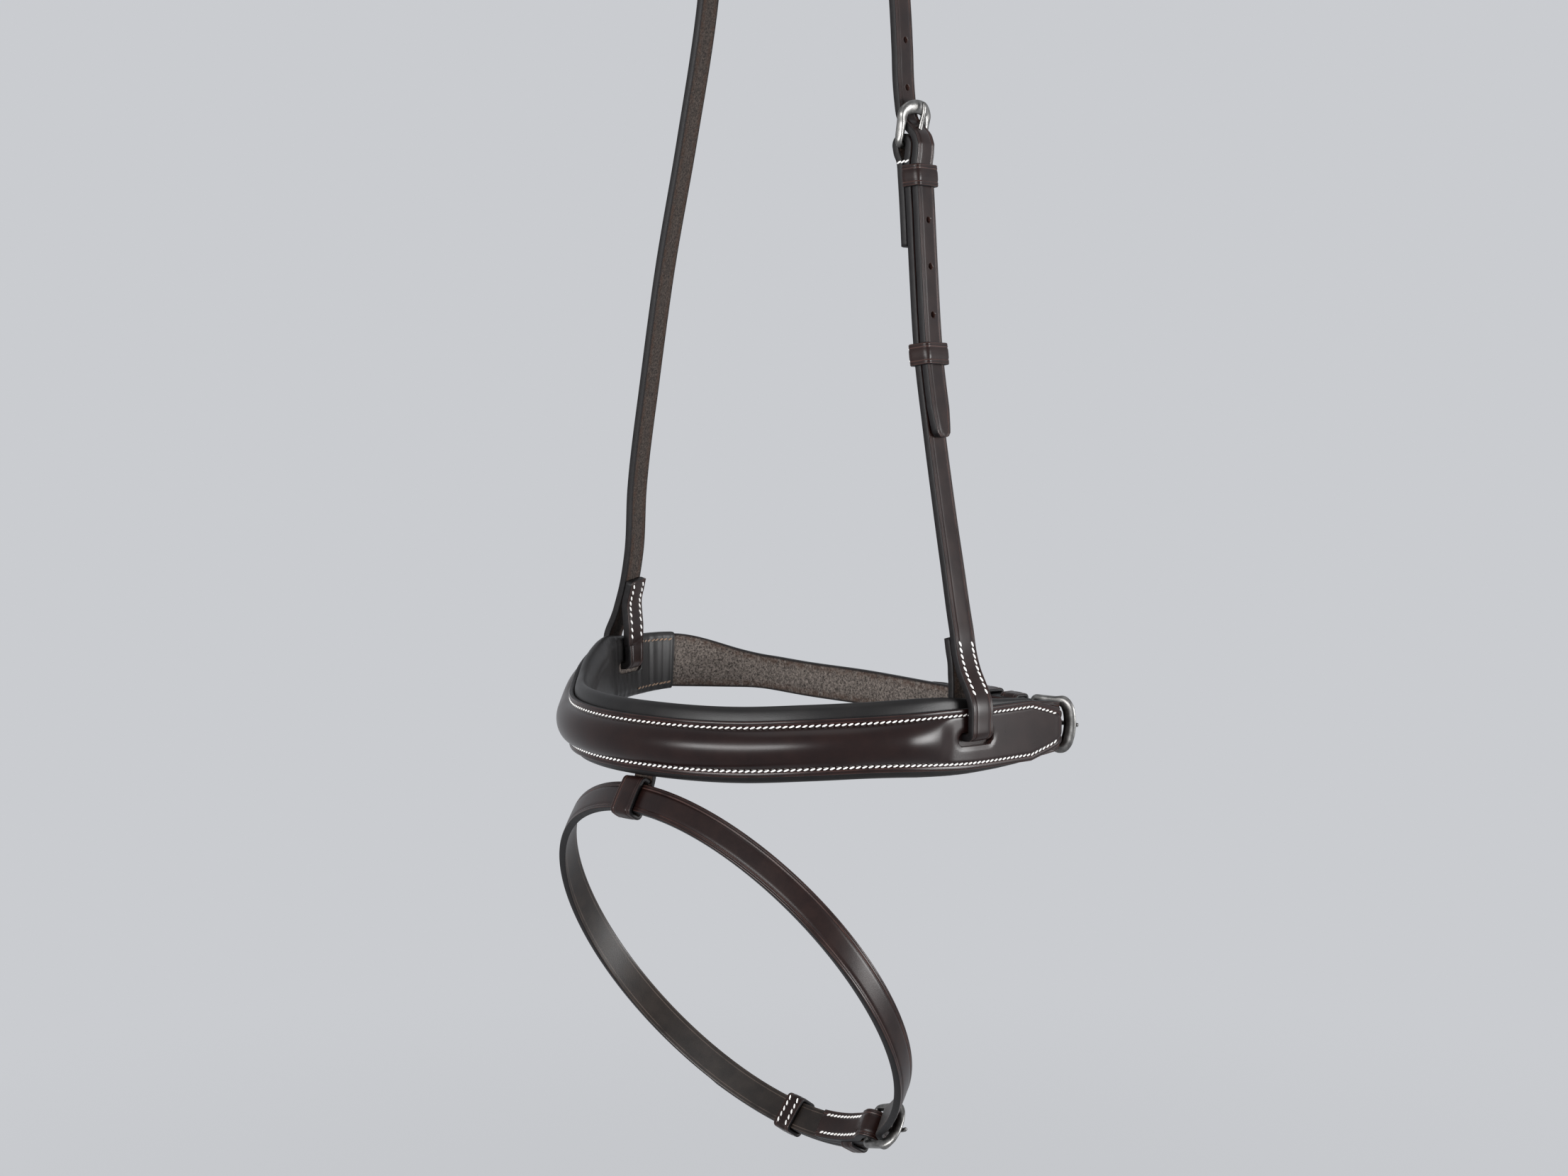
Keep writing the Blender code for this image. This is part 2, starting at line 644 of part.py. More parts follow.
def strap(name, line, rows, width, thick, mat, collection, tip=None, widths=None):
    """A strap along (along, out) rows, with its shaped tip at the first row."""
    rows = station_rows(line, rows)
    if tip:
        rows = insert_marks(rows, tip_marks(width, tip))
    run = lengths(rows)
    halves = [tip_half(r, width, tip) if tip else width / 2 for r in run]
    if widths:
        halves = [min(half, widths(along)) if tip else widths(along)
                  for half, (along, _) in zip(halves, rows)]
    return sheet(name, ribbon_points(line, rows, halves), thick, mat, collection)


def axes_matrix(origin, x_axis, y_axis, z_axis):
    matrix = Matrix.Identity(4)
    for k, axis in enumerate((x_axis, y_axis, z_axis)):
        for r in range(3):
            matrix[r][k] = axis[r]
    matrix.translation = Vector(origin)
    return matrix


def cutter_object(name, bm, matrix, cutters):
    mesh = bpy.data.meshes.new(name)
    bm.to_mesh(mesh)
    bm.free()
    obj = link(bpy.data.objects.new(name, mesh), cutters)
    obj.matrix_world = matrix
    obj.display_type = "WIRE"
    obj.hide_render = True
    return obj


def box_cutter(name, matrix, size, cutters):
    bm = bmesh.new()
    bmesh.ops.create_cube(bm, size=1.0)
    bmesh.ops.scale(bm, vec=size, verts=bm.verts)
    return cutter_object(name, bm, matrix, cutters)


def cone_cutter(name, matrix, radius_low, radius_high, depth, cutters, sides=14):
    bm = bmesh.new()
    bmesh.ops.create_cone(
        bm, cap_ends=True, segments=sides, radius1=radius_low, radius2=radius_high, depth=depth)
    return cutter_object(name, bm, matrix, cutters)


def hole_cutters(name, line, rows, places, cutters):
    """Punched holes across a strap, at distances from its first row."""
    run = lengths(rows)
    made = []
    for k, place in enumerate(places):
        along, out = (float(np.interp(place, run, rows[:, c])) for c in range(2))
        point = line.place(along, out)
        _, tangent, outward, side = line.frame(along)
        matrix = axes_matrix(point, side, tangent, outward)
        made.append(cone_cutter(
            f"{name}_{k}", matrix, HOLE_RADIUS, HOLE_RADIUS, STRAP_THICK + 2 * OVERRUN, cutters, 10))
    return made


def slot_cutter(name, nose, mark, cutters):
    """A level slot with round ends, through all layers of the noseband."""
    point, tangent, outward, _ = nose.frame(mark)
    level = unit(tangent * np.array([1.0, 1.0, 0.0]))
    bm = bmesh.new()
    bmesh.ops.create_cone(
        bm, cap_ends=True, segments=20, radius1=SLOT_HEIGHT / 2, radius2=SLOT_HEIGHT / 2,
        depth=PAD_DEPTH * 2 + OVERRUN)
    for vert in bm.verts:
        vert.co.x += math.copysign((SLOT_LENGTH - SLOT_HEIGHT) / 2, round(vert.co.x, 6))
    matrix = axes_matrix(point, level, np.cross(outward, level), outward)
    return cutter_object(name, bm, matrix, cutters)


def loft(name, loops, mat, collection):
    """A closed solid through loops of equal count, with both ends capped."""
    bm = bmesh.new()
    rings = [[bm.verts.new(Vector(p)) for p in loop] for loop in loops]
    count = len(rings[0])
    for low, high in zip(rings[:-1], rings[1:]):
        for k in range(count):
            n = (k + 1) % count
            bm.faces.new((low[k], low[n], high[n], high[k]))
    bm.faces.new(rings[0][::-1])
    bm.faces.new(rings[-1])
    bmesh.ops.recalc_face_normals(bm, faces=bm.faces)
    mesh = bpy.data.meshes.new(name)
    bm.to_mesh(mesh)
    bm.free()
    return link(bpy.data.objects.new(name, mesh), collection, mat)


# Noseband section sizes along the band; run is the distance from the nose

def ease(value, low, high):
    t = max(0.0, min(1.0, (value - low) / (high - low)))
    return t * t * (3 - 2 * t)


def face_half(run):
    slot = NOSE_RADIUS * NEAR_TURN
    half = FACE_NOSE_HALF + (FACE_SLOT_HALF - FACE_NOSE_HALF) * ease(run, FACE_WIDENS_AT, slot)
    tip_start = slot + SLOT_TO_LINING_END
    tip = slot + SLOT_TO_TIP
    if run <= tip_start:
        return half
    share = min(1.0, (run - tip_start) / (tip - tip_start))
    rounding = 0.75 * share + 0.25 * share ** 6
    return half - (half - FACE_TIP_HALF) * rounding


def roll_rise(run):
    return ROLL_RISE * (1.0 - ease(run, ROLL_END - ROLL_TAPER, ROLL_END))


def roll_half(run):
    return face_half(run) - SEAM_INSET - ROLL_SEAM_GAP


def arch(height, half):
    """Rise share of the raised nose at a height across the band."""
    share = min(1.0, abs(height) / half)
    return math.sqrt(max(0.0, 1.0 - share ** 2)) ** 1.15


def band_runs(end, extra=()):
    """Runs to both sides at the band's stations, its end and extra places."""
    half = [k * BAND_STEP for k in range(int((end - BAND_STEP / 5) / BAND_STEP) + 1)]
    half += [end] + list(extra)
    return sorted(set(np.round(half + [-r for r in half], 6)))


def face_outline(run):
    """Middle of the face leather's thickness, from bottom to top edge."""
    half, rise = face_half(run), roll_rise(run)
    flat = half - min(SEAM_INSET + ROLL_SEAM_GAP / 2, half / 4)
    angles = np.linspace(-math.pi / 2, math.pi / 2, FACE_COLUMNS - 1)
    heights = [-half] + [flat * math.sin(a) for a in angles] + [half]
    return [(FACE_THICK / 2 + rise * arch(h, flat), h) for h in heights]


def lay_on_band(nose, run, outline):
    """Points of a section outline, set on the band at a run from the nose."""
    return [nose.place(run, out, height) for out, height in outline]


def face_solid(nose, mat, collection):
    """The face leather: one sheet, raised over the roll between its seams."""
    tip_start = NOSE_RADIUS * NEAR_TURN + SLOT_TO_LINING_END
    tip = NOSE_RADIUS * NEAR_TURN + SLOT_TO_TIP
    extra = [tip_start + (tip - tip_start) * share for share in TIP_STATION_SHARES]
    extra += [ROLL_END - ROLL_TAPER * share for share in ROLL_STATION_SHARES]
    rows = [lay_on_band(nose, run, face_outline(abs(run)))
            for run in band_runs(tip_start, extra)]
    return sheet("nose_face", rows, FACE_THICK, mat, collection)


def roll_solid(nose, mat, collection):
    """The core that raises the nose, D-shaped, between face and pad."""
    loops = []
    back = -(LINING_THICK + LAYER_GAP)
    end = ROLL_END - ROLL_TAPER * ROLL_STATION_SHARES[-1]
    extra = [ROLL_END - ROLL_TAPER * share for share in ROLL_STATION_SHARES]
    for run in band_runs(end, extra):
        outline = inset_outline(face_outline(abs(run))[2:-2], FACE_THICK / 2 + LAYER_GAP)
        front = [(max(out, back + LAYER_GAP), height) for out, height in outline]
        outline = [(back, front[-1][1])] + [(back, front[0][1])] + front
        loops.append(lay_on_band(nose, run, outline))
    return loft("nose_roll", loops, mat, collection)


def pad_sizes(run):
    """Lining depth, stands above and below the face, lip width and flatness."""
    near_slot = ease(run, FOAM_END, FOAM_END + BAND_STEP)
    shallow = LAYER_GAP * 2 + CHIN_THICK + LINING_THICK / 2
    depth = PAD_DEPTH + (shallow - PAD_DEPTH) * near_slot
    top = LINING_TOP + (LINING_TOP_AT_SLOT - LINING_TOP) * near_slot
    bottom = LINING_BOTTOM + (LINING_BOTTOM_AT_SLOT - LINING_BOTTOM) * near_slot
    lip = LIP_WIDTH + (LIP_AT_SLOT - LIP_WIDTH) * near_slot
    return depth, top, bottom, lip, near_slot


def lining_outline(run):
    """Middle of the lining's thickness, from its top lip to its bottom lip."""
    half = face_half(min(run, NOSE_RADIUS * NEAR_TURN + SLOT_TO_LINING_END))
    depth, top, bottom, lip, flat = pad_sizes(run)
    root = LAYER_GAP + LINING_THICK / 2
    corner = half + root * flat

    def edge(stand, sign):
        rows = [(-root - (depth - root) * out, sign * (corner + (stand + half - corner) * up))
                for out, up in LINING_EDGE_SHARES]
        rows += [(-depth * (out + (1.0 - out) * flat), sign * half * (up + (wide - up) * flat))
                 for out, up, wide in LINING_BACK_SHARES]
        return [(-root, sign * (corner - lip)), (-root, sign * corner)] + rows

    upper, lower = edge(top, 1), edge(bottom, -1)
    return upper + lower[::-1][1:]


def lining_solid(nose, mat, collection):
    end = NOSE_RADIUS * NEAR_TURN + SLOT_TO_LINING_END
    rows = [lay_on_band(nose, run, lining_outline(abs(run))) for run in band_runs(end)]
    return sheet("nose_lining", rows, LINING_THICK, mat, collection, edge=0.0)


def inset_outline(points, distance):
    """Open outline moved towards its left-hand side."""
    pts = np.array(points)
    steps = np.gradient(pts, axis=0)
    steps /= np.linalg.norm(steps, axis=1)[:, None]
    return pts + distance * np.column_stack([-steps[:, 1], steps[:, 0]])


def foam_solid(nose, mat, collection):
    """The pad's foam, which fills the lining behind the roll."""
    inset = LINING_THICK / 2 + LAYER_GAP
    loops = []
    for run in band_runs(FOAM_END):
        outline = lining_outline(abs(run))
        inner = inset_outline(outline[2:-2], inset)
        front = -(LINING_THICK + 2 * LAYER_GAP)
        half = face_half(abs(run))
        points = [(min(out, front if abs(h) < half + inset else out), h) for out, h in inner]
        points = [(front, half - inset)] + points + [(front, -half + inset)]
        loops.append(lay_on_band(nose, run, points))
    return loft("nose_foam", loops, mat, collection)


def root_half(run):
    """Half width of the chin straps, wide under the face and then narrow."""
    slot = NOSE_RADIUS * NEAR_TURN
    wide = FACE_SLOT_HALF - 2 * LAYER_GAP
    taper = ease(run, slot + SLOT_TO_LINING_END, slot + SLOT_TO_LINING_END + CHIN_TAPER)
    return wide + (CHIN_WIDTH / 2 - wide) * taper


# Buckles and keepers

class Closure:
    """Where a buckle sits: heel and front bars, and the frame's axes."""

    def __init__(self, line, heel, sink, sense, tilt, frame_length, width):
        self.line, self.heel, self.sink, self.sense = line, heel, sink, sense
        self.frame_length, self.width = frame_length, width
        _, tangent, outward, side = line.frame(heel)
        self.origin = line.place(heel, -sink)
        ahead = sense * tangent
        self.ahead = math.cos(tilt) * ahead + math.sin(tilt) * outward
        self.up = math.cos(tilt) * outward - math.sin(tilt) * ahead
        self.side = np.cross(self.up, self.ahead)
        self.front = self.origin + frame_length * self.ahead
        near, far = heel - 3 * frame_length, heel + 3 * frame_length
        self.front_row = line.locate(self.front, near, far)

    def matrix(self, ahead=0.0, up=0.0):
        origin = self.origin + ahead * self.ahead + up * self.up
        return axes_matrix(origin, self.ahead, self.side, self.up)


def wire(name, points, radii, cyclic, depth, matrix, mat, collection):
    curve = bpy.data.curves.new(name, "CURVE")
    curve.dimensions = "3D"
    spline = curve.splines.new("POLY")
    spline.points.add(len(points) - 1)
    for point, co, radius in zip(spline.points, points, radii):
        point.co = (*co, 1.0)
        point.radius = radius
    spline.use_cyclic_u = cyclic
    curve.bevel_depth = depth
    curve.bevel_resolution = 2
    curve.use_fill_caps = not cyclic
    source = bpy.data.objects.new(name + "_path", curve)
    mesh = bpy.data.meshes.new_from_object(source)
    bpy.data.objects.remove(source)
    bm = bmesh.new()
    bm.from_mesh(mesh)
    bmesh.ops.remove_doubles(bm, verts=bm.verts, dist=WELD)
    bmesh.ops.recalc_face_normals(bm, faces=bm.faces)
    bm.to_mesh(mesh)
    bm.free()
    mesh.name = name
    obj = link(bpy.data.objects.new(name, mesh), collection, mat)
    obj.matrix_world = matrix
    return obj


def frame_points(length, width):
    """Frame outline: straight heel bar, sides, and a front bar that bows."""
    half = width / 2 + BUCKLE_SIDE_PLAY + BUCKLE_WIRE
    rows = arc((BUCKLE_CORNER * 0.6, half - BUCKLE_CORNER * 0.6), BUCKLE_CORNER * 0.6,
               math.pi, math.pi / 2, 4)
    rows += arc((length - BUCKLE_CORNER, half - BUCKLE_CORNER), BUCKLE_CORNER,
                math.pi / 2, math.pi / 8, 4)
    end = rows[-1][1]
    front = [(length + FRONT_BOW * (1 - s * s), end * s) for s in FRONT_SHARES]
    upper = rows + front
    lower = [(x, -y) for x, y in upper[::-1][1:]]
    heel = [(0.0, share * half) for share in HEEL_SHARES]
    return [(x, y, FRONT_DOME * (1 - (y / half) ** 2) * ease(x, 0.0, length))
            for x, y in upper + lower + heel]


def buckle_frame(name, closure, mat, collection):
    points = frame_points(closure.frame_length, closure.width)
    radii = [blend(WIRE_SHARES, p[0] / closure.frame_length) for p in points]
    return wire(name, points, radii, True, BUCKLE_WIRE, closure.matrix(), mat, collection)


def buckle_tongue(name, closure, mat, collection):
    """A tongue wrapped round the heel bar, lying over the front bar."""
    wrap = HEEL_WIRE + LAYER_GAP + TONGUE_WIRE
    rest = FRONT_WIRE + LAYER_GAP + TONGUE_WIRE + FRONT_DOME
    reach = closure.frame_length + FRONT_BOW + TONGUE_REACH
    hook = arc((0.0, 0.0), wrap, -math.pi / 4, -1.5 * math.pi, 11)
    shank = [(closure.frame_length * t, wrap + (rest - wrap) * t) for t in (0.35, 0.7, 1.0)]
    shank += [(reach - TONGUE_WIRE, rest - TONGUE_WIRE * 0.3), (reach, rest - TONGUE_WIRE * 0.8)]
    points = [(x, 0.0, z) for x, z in hook + shank]
    radii = [1.0] * (len(points) - 1) + [0.5]
    return wire(name, points, radii, False, TONGUE_WIRE, closure.matrix(), mat, collection)


def tongue_hole(name, closure, cutters):
    """Clearance for the tongue where it passes through the billet."""
    length = closure.frame_length
    spread = length * math.tan(TONGUE_SWING)
    wrap = HEEL_WIRE + LAYER_GAP + TONGUE_WIRE
    start = TONGUE_WIRE + HOLE_PLAY
    matrix = closure.matrix(length / 2, wrap + spread / 4) @ Matrix.Rotation(math.pi / 2, 4, "Y")
    return cone_cutter(name, matrix, start, start + spread / 2, length, cutters)


def crew_hole(name, closure, cutters):
    """The long hole in the chape's fold that the tongue turns in."""
    wrap = HEEL_WIRE + LAYER_GAP + 2 * TONGUE_WIRE + HOLE_PLAY
    length = 2 * wrap + OVERRUN
    size = (length, 2 * (TONGUE_WIRE + HOLE_PLAY), 2 * wrap + 2 * CHIN_THICK)
    return box_cutter(name, closure.matrix(wrap - length / 2 + HEEL_WIRE, 0.0), size, cutters)


def keeper(name, line, along, low, high, width, play, mat, collection):
    """A leather loop round a stack of straps between two heights."""
    point, tangent, outward, side = line.frame(along)
    half = width / 2 + play
    half_up = (high - low) / 2 + play
    centre = point + outward * (low + high) / 2
    corner = KEEPER_CORNER
    outline = []
    for k, (sx, sy) in enumerate(((1, 1), (-1, 1), (-1, -1), (1, -1))):
        start = k * math.pi / 2
        outline += arc((sx * (half - corner / 2), sy * (half_up - corner / 2)), corner / 2,
                       start, start + math.pi / 2, 4)
    rows = []
    for x, y in outline:
        base = centre + x * side + y * outward
        rows.append([base - tangent * KEEPER_LENGTH / 2, base + tangent * KEEPER_LENGTH / 2])
    return ring_sheet(name, rows, centre, mat, collection)


def ring_sheet(name, rows, origin, mat, collection):
    """A closed band of leather: an open tube given its thickness outwards."""
    bm = bmesh.new()
    first = [bm.verts.new(Vector(r[0]) - Vector(origin)) for r in rows]
    for a, b in zip(first, first[1:] + first[:1]):
        bm.edges.new((a, b))
    made = bmesh.ops.extrude_edge_only(bm, edges=bm.edges[:])
    moved = [v for v in made["geom"] if isinstance(v, bmesh.types.BMVert)]
    shift = Vector(rows[0][1]) - Vector(rows[0][0])
    bmesh.ops.translate(bm, vec=shift, verts=moved)
    bmesh.ops.recalc_face_normals(bm, faces=bm.faces[:])
    middle = sum((f.calc_center_median() for f in bm.faces), Vector()) / len(bm.faces)
    sample = bm.faces[:][0]
    if sample.normal.dot(sample.calc_center_median() - middle) < 0:
        bmesh.ops.reverse_faces(bm, faces=bm.faces[:])
    mesh = bpy.data.meshes.new(name)
    bm.to_mesh(mesh)
    bm.free()
    obj = link(bpy.data.objects.new(name, mesh), collection, mat)
    obj.location = Vector(origin)
    solid = obj.modifiers.new("thickness", "SOLIDIFY")
    solid.thickness = KEEPER_THICK
    solid.offset = 1.0
    solid.use_even_offset = True
    add_bevel(obj, KEEPER_THICK / 4)
    return obj


# Assemblies

def set_origin(objects, place):
    """Put the objects' origins on the axis that their body turns about."""
    for obj in objects:
        local = obj.matrix_basis.inverted() @ Vector(place)
        obj.data.transform(Matrix.Translation(-local))
        obj.matrix_basis = obj.matrix_basis @ Matrix.Translation(local)


def make_noseband(nose, marks, mats, parts, cutters):
    slots = [slot_cutter("near_slot_cut", nose, marks["near_slot"], cutters),
             slot_cutter("far_slot_cut", nose, marks["far_slot"], cutters)]
    face = face_solid(nose, mats["face"], parts)
    roll = roll_solid(nose, mats["core"], parts)
    foam = foam_solid(nose, mats["foam"], parts)
    lining = lining_solid(nose, mats["lining"], parts)
    for slot in slots:
        add_cut(face, slot)
        add_cut(lining, slot)
    return slots, [face, roll, foam, lining]


def make_chin(nose, marks, slots, mats, parts, cutters):
    """Chin strap: the far tail with its buckle, and the near billet."""
    centre = -(LAYER_GAP + CHIN_THICK / 2)
    heel = marks["corner"] + REAR_HEEL_REACH
    radius = HEEL_WIRE + LAYER_GAP + CHIN_THICK / 2
    sink = -centre + (CHIN_THICK + LAYER_GAP) / 2
    closure = Closure(nose, heel, sink, -1, REAR_TILT, CHIN_FRAME_LENGTH, CHIN_WIDTH)
    full = marks["full"]

    chape = chape_rows(heel, sink + centre, -1, CHIN_THICK, full - ROOT_START - heel, REAR_CHAPE)
    chape[:, 1] += centre
    tail = strap("far_tail", nose, chape, CHIN_WIDTH, CHIN_THICK, mats["strap"], parts,
                 widths=lambda along: root_half(full - along))
    add_cut(tail, slots[1])
    add_cut(tail, crew_hole("rear_crew_hole", closure, cutters))

    front = (closure.front_row[0], closure.front_row[1] - centre)
    start = heel - ROOT_START
    lead = [(heel - marks["near_slot"] - SLOT_TO_TIP + 2 * radius, 0.0),
            (heel - marks["near_slot"] - SLOT_TO_LINING_END, 0.0), (start, 0.0)]
    billet_line = billet_rows(
        heel, sink + centre, front, -1, CHIN_THICK, REAR_BILLET, lead)
    billet_line[:, 1] += centre
    billet = strap("near_billet", nose, billet_line, CHIN_WIDTH, CHIN_THICK, mats["strap"], parts,
                   tip=POINT_TIP_SHARES,
                   widths=lambda along: root_half(along) if along < heel - radius else CHIN_WIDTH / 2)
    add_cut(billet, slots[0])
    add_cut(billet, tongue_hole("rear_tongue_hole", closure, cutters))

    buckle_frame("rear_buckle", closure, mats["steel"], parts)
    buckle_tongue("rear_tongue", closure, mats["steel"], parts)
    low = centre - CHIN_THICK - LAYER_GAP - CHIN_THICK / 2
    high = centre + CHIN_THICK + LAYER_GAP + CHIN_THICK / 2
    fixed = keeper("rear_fixed_keeper", nose, heel + REAR_FIXED_AT, low, high, CHIN_WIDTH,
                   LAYER_GAP, mats["strap"], parts)
    keeper("rear_runner_keeper", nose, heel + REAR_RUNNER_AT, low, high, CHIN_WIDTH,
           KEEPER_PLAY, mats["strap"], parts)
    return [tail, billet, fixed]


def make_head(head, mats, parts, cutters):
    """Head strap over the poll, and the cheek strap that it buckles to."""
    closure = Closure(head, CHEEK_HEEL_REACH, CHEEK_HEEL_SINK, 1, CHEEK_TILT,
                      HEAD_FRAME_LENGTH, STRAP_WIDTH)
    loop = loop_rows(0.0, 1)
    chape = chape_rows(CHEEK_HEEL_REACH, CHEEK_HEEL_SINK, 1, STRAP_THICK,
                       CHEEK_HEEL_REACH - LOOP_BEND, CHEEK_CHAPE)
    cheek = strap("cheek_strap", head, np.vstack([loop[:-1], chape]), STRAP_WIDTH, STRAP_THICK,
                  mats["strap"], parts)
    add_cut(cheek, crew_hole("cheek_crew_hole", closure, cutters))

    far_loop = loop_rows(head.length, -1)[::-1]
    run = head.length - LOOP_BEND - CHEEK_HEEL_REACH
    lead = [(share * run, 0.0) for share in CROWN_LEAD_SHARES]
    top = billet_rows(CHEEK_HEEL_REACH, CHEEK_HEEL_SINK, closure.front_row, 1, STRAP_THICK,
                      CHEEK_BILLET, lead)
    rows = np.vstack([top, far_loop[1:]])
    crown = strap("crown_strap", head, rows, STRAP_WIDTH, STRAP_THICK, mats["strap"], parts,
                  tip=SQUARE_TIP_SHARES)
    add_cut(crown, tongue_hole("cheek_tongue_hole", closure, cutters))
    tongue_at = CHEEK_BILLET + HEAD_FRAME_LENGTH * 0.4
    places = [tongue_at + HOLE_PITCH * k for k in (-4, -3, -2, 1, 2)]
    for cutter in hole_cutters("cheek_hole", head, rows, places, cutters):
        add_cut(crown, cutter)

    buckle_frame("cheek_buckle", closure, mats["steel"], parts)
    buckle_tongue("cheek_tongue", closure, mats["steel"], parts)
    pitch = STRAP_THICK + LAYER_GAP
    keeper("cheek_fixed_keeper", head, CHEEK_HEEL_REACH - CHEEK_FIXED_AT,
           -pitch - STRAP_THICK / 2, pitch + STRAP_THICK / 2, STRAP_WIDTH, LAYER_GAP,
           mats["strap"], parts)
    keeper("cheek_runner_keeper", head, CHEEK_HEEL_REACH - CHEEK_RUNNER_AT,
           -STRAP_THICK / 2, pitch + STRAP_THICK / 2, STRAP_WIDTH, KEEPER_PLAY,
           mats["strap"], parts)


def make_flash(flash, heel, mats, parts, cutters):
    """Flash strap: one strap round the loop, through its buckle and keepers."""
    closure = Closure(flash, heel, FLASH_HEEL_SINK, -1, FLASH_TILT, HEAD_FRAME_LENGTH, STRAP_WIDTH)
    chape = chape_rows(heel, FLASH_HEEL_SINK, -1, STRAP_THICK, flash.length - heel, FLASH_CHAPE)
    chape[:, 0] -= flash.length
    lead = [(heel * share, 0.0) for share in FLASH_LEAD_SHARES]
    billet = billet_rows(heel, FLASH_HEEL_SINK, closure.front_row, -1, STRAP_THICK,
                         FLASH_BILLET, lead)
    body = strap("flash_strap", flash, np.vstack([billet[:-1], chape]), STRAP_WIDTH, STRAP_THICK,
                 mats["strap"], parts, tip=POINT_TIP_SHARES)
    add_cut(body, crew_hole("flash_crew_hole", closure, cutters))
    add_cut(body, tongue_hole("flash_tongue_hole", closure, cutters))
    buckle_frame("flash_buckle", closure, mats["steel"], parts)
    buckle_tongue("flash_tongue", closure, mats["steel"], parts)
    pitch = STRAP_THICK + LAYER_GAP
    fixed = keeper("flash_fixed_keeper", flash, heel + FLASH_FIXED_AT,
                   -pitch - STRAP_THICK / 2, pitch + STRAP_THICK / 2, STRAP_WIDTH, LAYER_GAP,
                   mats["strap"], parts)
    keeper("flash_runner_keeper", flash, heel + FLASH_RUNNER_AT,
           -STRAP_THICK / 2, pitch + STRAP_THICK / 2, STRAP_WIDTH, KEEPER_PLAY,
           mats["strap"], parts)
    set_origin([body, fixed], flash.points.mean(axis=0))


def make_flash_loop(nose, flash, mat, collection):
    """The loop under the nose that carries the flash strap, with its tab.

    The strip starts behind the lining, comes down past its lower edge, goes
    round the flash strap and ends against its own tab.
    """
    clear = (LINING_THICK + FLASH_LOOP_THICK) / 2 + LAYER_GAP
    behind = inset_outline(lining_outline(0.0), -clear)
    middle = len(behind) // 2
    tab = [tuple(p) for p in behind[middle:middle + len(LINING_BACK_SHARES)]]
    point, _, outward, _ = nose.frame(0.0)
    place, _, flash_out, flash_side = flash.frame(0.0)
    flat = np.array([outward, (0.0, 0.0, 1.0)])
    centre, across, upward = flat @ (place - point), flat @ flash_out, flat @ flash_side
    half_up = STRAP_WIDTH / 2 + LOOP_PLAY + FLASH_LOOP_THICK / 2
    half_out = STRAP_THICK / 2 + LOOP_PLAY + FLASH_LOOP_THICK / 2
    bend = FLASH_LOOP_THICK
    ring = [(-half_out, half_up - bend)]
    for k, (sx, sy) in enumerate(((-1, -1), (1, -1), (1, 1))):
        start = math.pi * (1 + k / 2)
        ring += arc((sx * (half_out - bend), sy * (half_up - bend)), bend,
                    start, start + math.pi / 2, 4)
    ring.append((-half_out * FLASH_LOOP_END_SHARE, half_up))
    outline = tab + [tuple(centre + x * across + y * upward) for x, y in ring]
    rows = [[nose.place(reach, out, height) for out, height in outline]
            for reach in (-FLASH_LOOP_WIDTH / 2, 0.0, FLASH_LOOP_WIDTH / 2)]
    return sheet("flash_loop", rows, FLASH_LOOP_THICK, mat, collection)


def build():
    clear_scene()
    parts = new_collection("padded_noseband")
    cutters = new_collection("cutters")
    mats = {
        "face": material("face_leather", HAVANA, 0.32),
        "strap": material("strap_leather", HAVANA, 0.42),
        "core": material("core_leather", FLESH, 0.8),
        "foam": material("foam", FOAM, 0.9),
        "lining": material("lining_leather", BLACK_LEATHER, 0.5),
        "steel": material("steel", STEEL, 0.3, 1.0)}
    nose, marks = nose_line()
    head = head_line(nose, marks)
    flash, flash_heel = flash_line(nose)
    slots, band = make_noseband(nose, marks, mats, parts, cutters)
    band += make_chin(nose, marks, slots, mats, parts, cutters)
    band.append(make_flash_loop(nose, flash, mats["strap"], parts))
    set_origin(band, nose.place(marks["near_slot"]))
    make_head(head, mats, parts, cutters)
    make_flash(flash, flash_heel, mats, parts, cutters)


build()
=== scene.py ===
# %% [markdown]
# # Padded noseband: the looks
#
# A padded noseband is a bridle part. A raised, lined band goes over the nose, a
# head strap carries it from the poll, a chin strap closes it behind, and a thin
# flash strap hangs in a loop under the nose. Here each piece gets its real
# surface, on the CAD frame that also drives its motion.

import math

import bmesh
import bpy
import numpy as np
from mathutils import Matrix, Vector


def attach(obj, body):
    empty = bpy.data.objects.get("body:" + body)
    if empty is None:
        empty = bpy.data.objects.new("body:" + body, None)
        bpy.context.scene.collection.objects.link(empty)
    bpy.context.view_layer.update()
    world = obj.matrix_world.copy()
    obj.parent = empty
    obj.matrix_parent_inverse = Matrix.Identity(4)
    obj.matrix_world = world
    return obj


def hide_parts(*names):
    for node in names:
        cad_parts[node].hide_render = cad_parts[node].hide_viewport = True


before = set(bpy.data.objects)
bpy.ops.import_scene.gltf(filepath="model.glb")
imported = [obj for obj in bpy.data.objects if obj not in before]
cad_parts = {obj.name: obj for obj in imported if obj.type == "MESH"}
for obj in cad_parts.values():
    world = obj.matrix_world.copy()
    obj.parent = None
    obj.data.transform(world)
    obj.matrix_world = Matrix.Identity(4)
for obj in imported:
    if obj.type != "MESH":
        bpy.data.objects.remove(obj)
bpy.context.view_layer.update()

# %% [markdown]
# ## Sizes
#
# The sizes are those of the CAD part, in metres. Straps are 12.7 and 16 mm wide
# and about 3 mm thick. The last group is what only the surface needs: how finely
# it is divided, the crease lines near a strap's edges, the stitches and seams.

# %% Plays and strap sizes
LAYER_GAP = 0.0003
KEEPER_PLAY = 0.0005
SLOT_PLAY = 0.0008
LOOP_PLAY = 0.0009

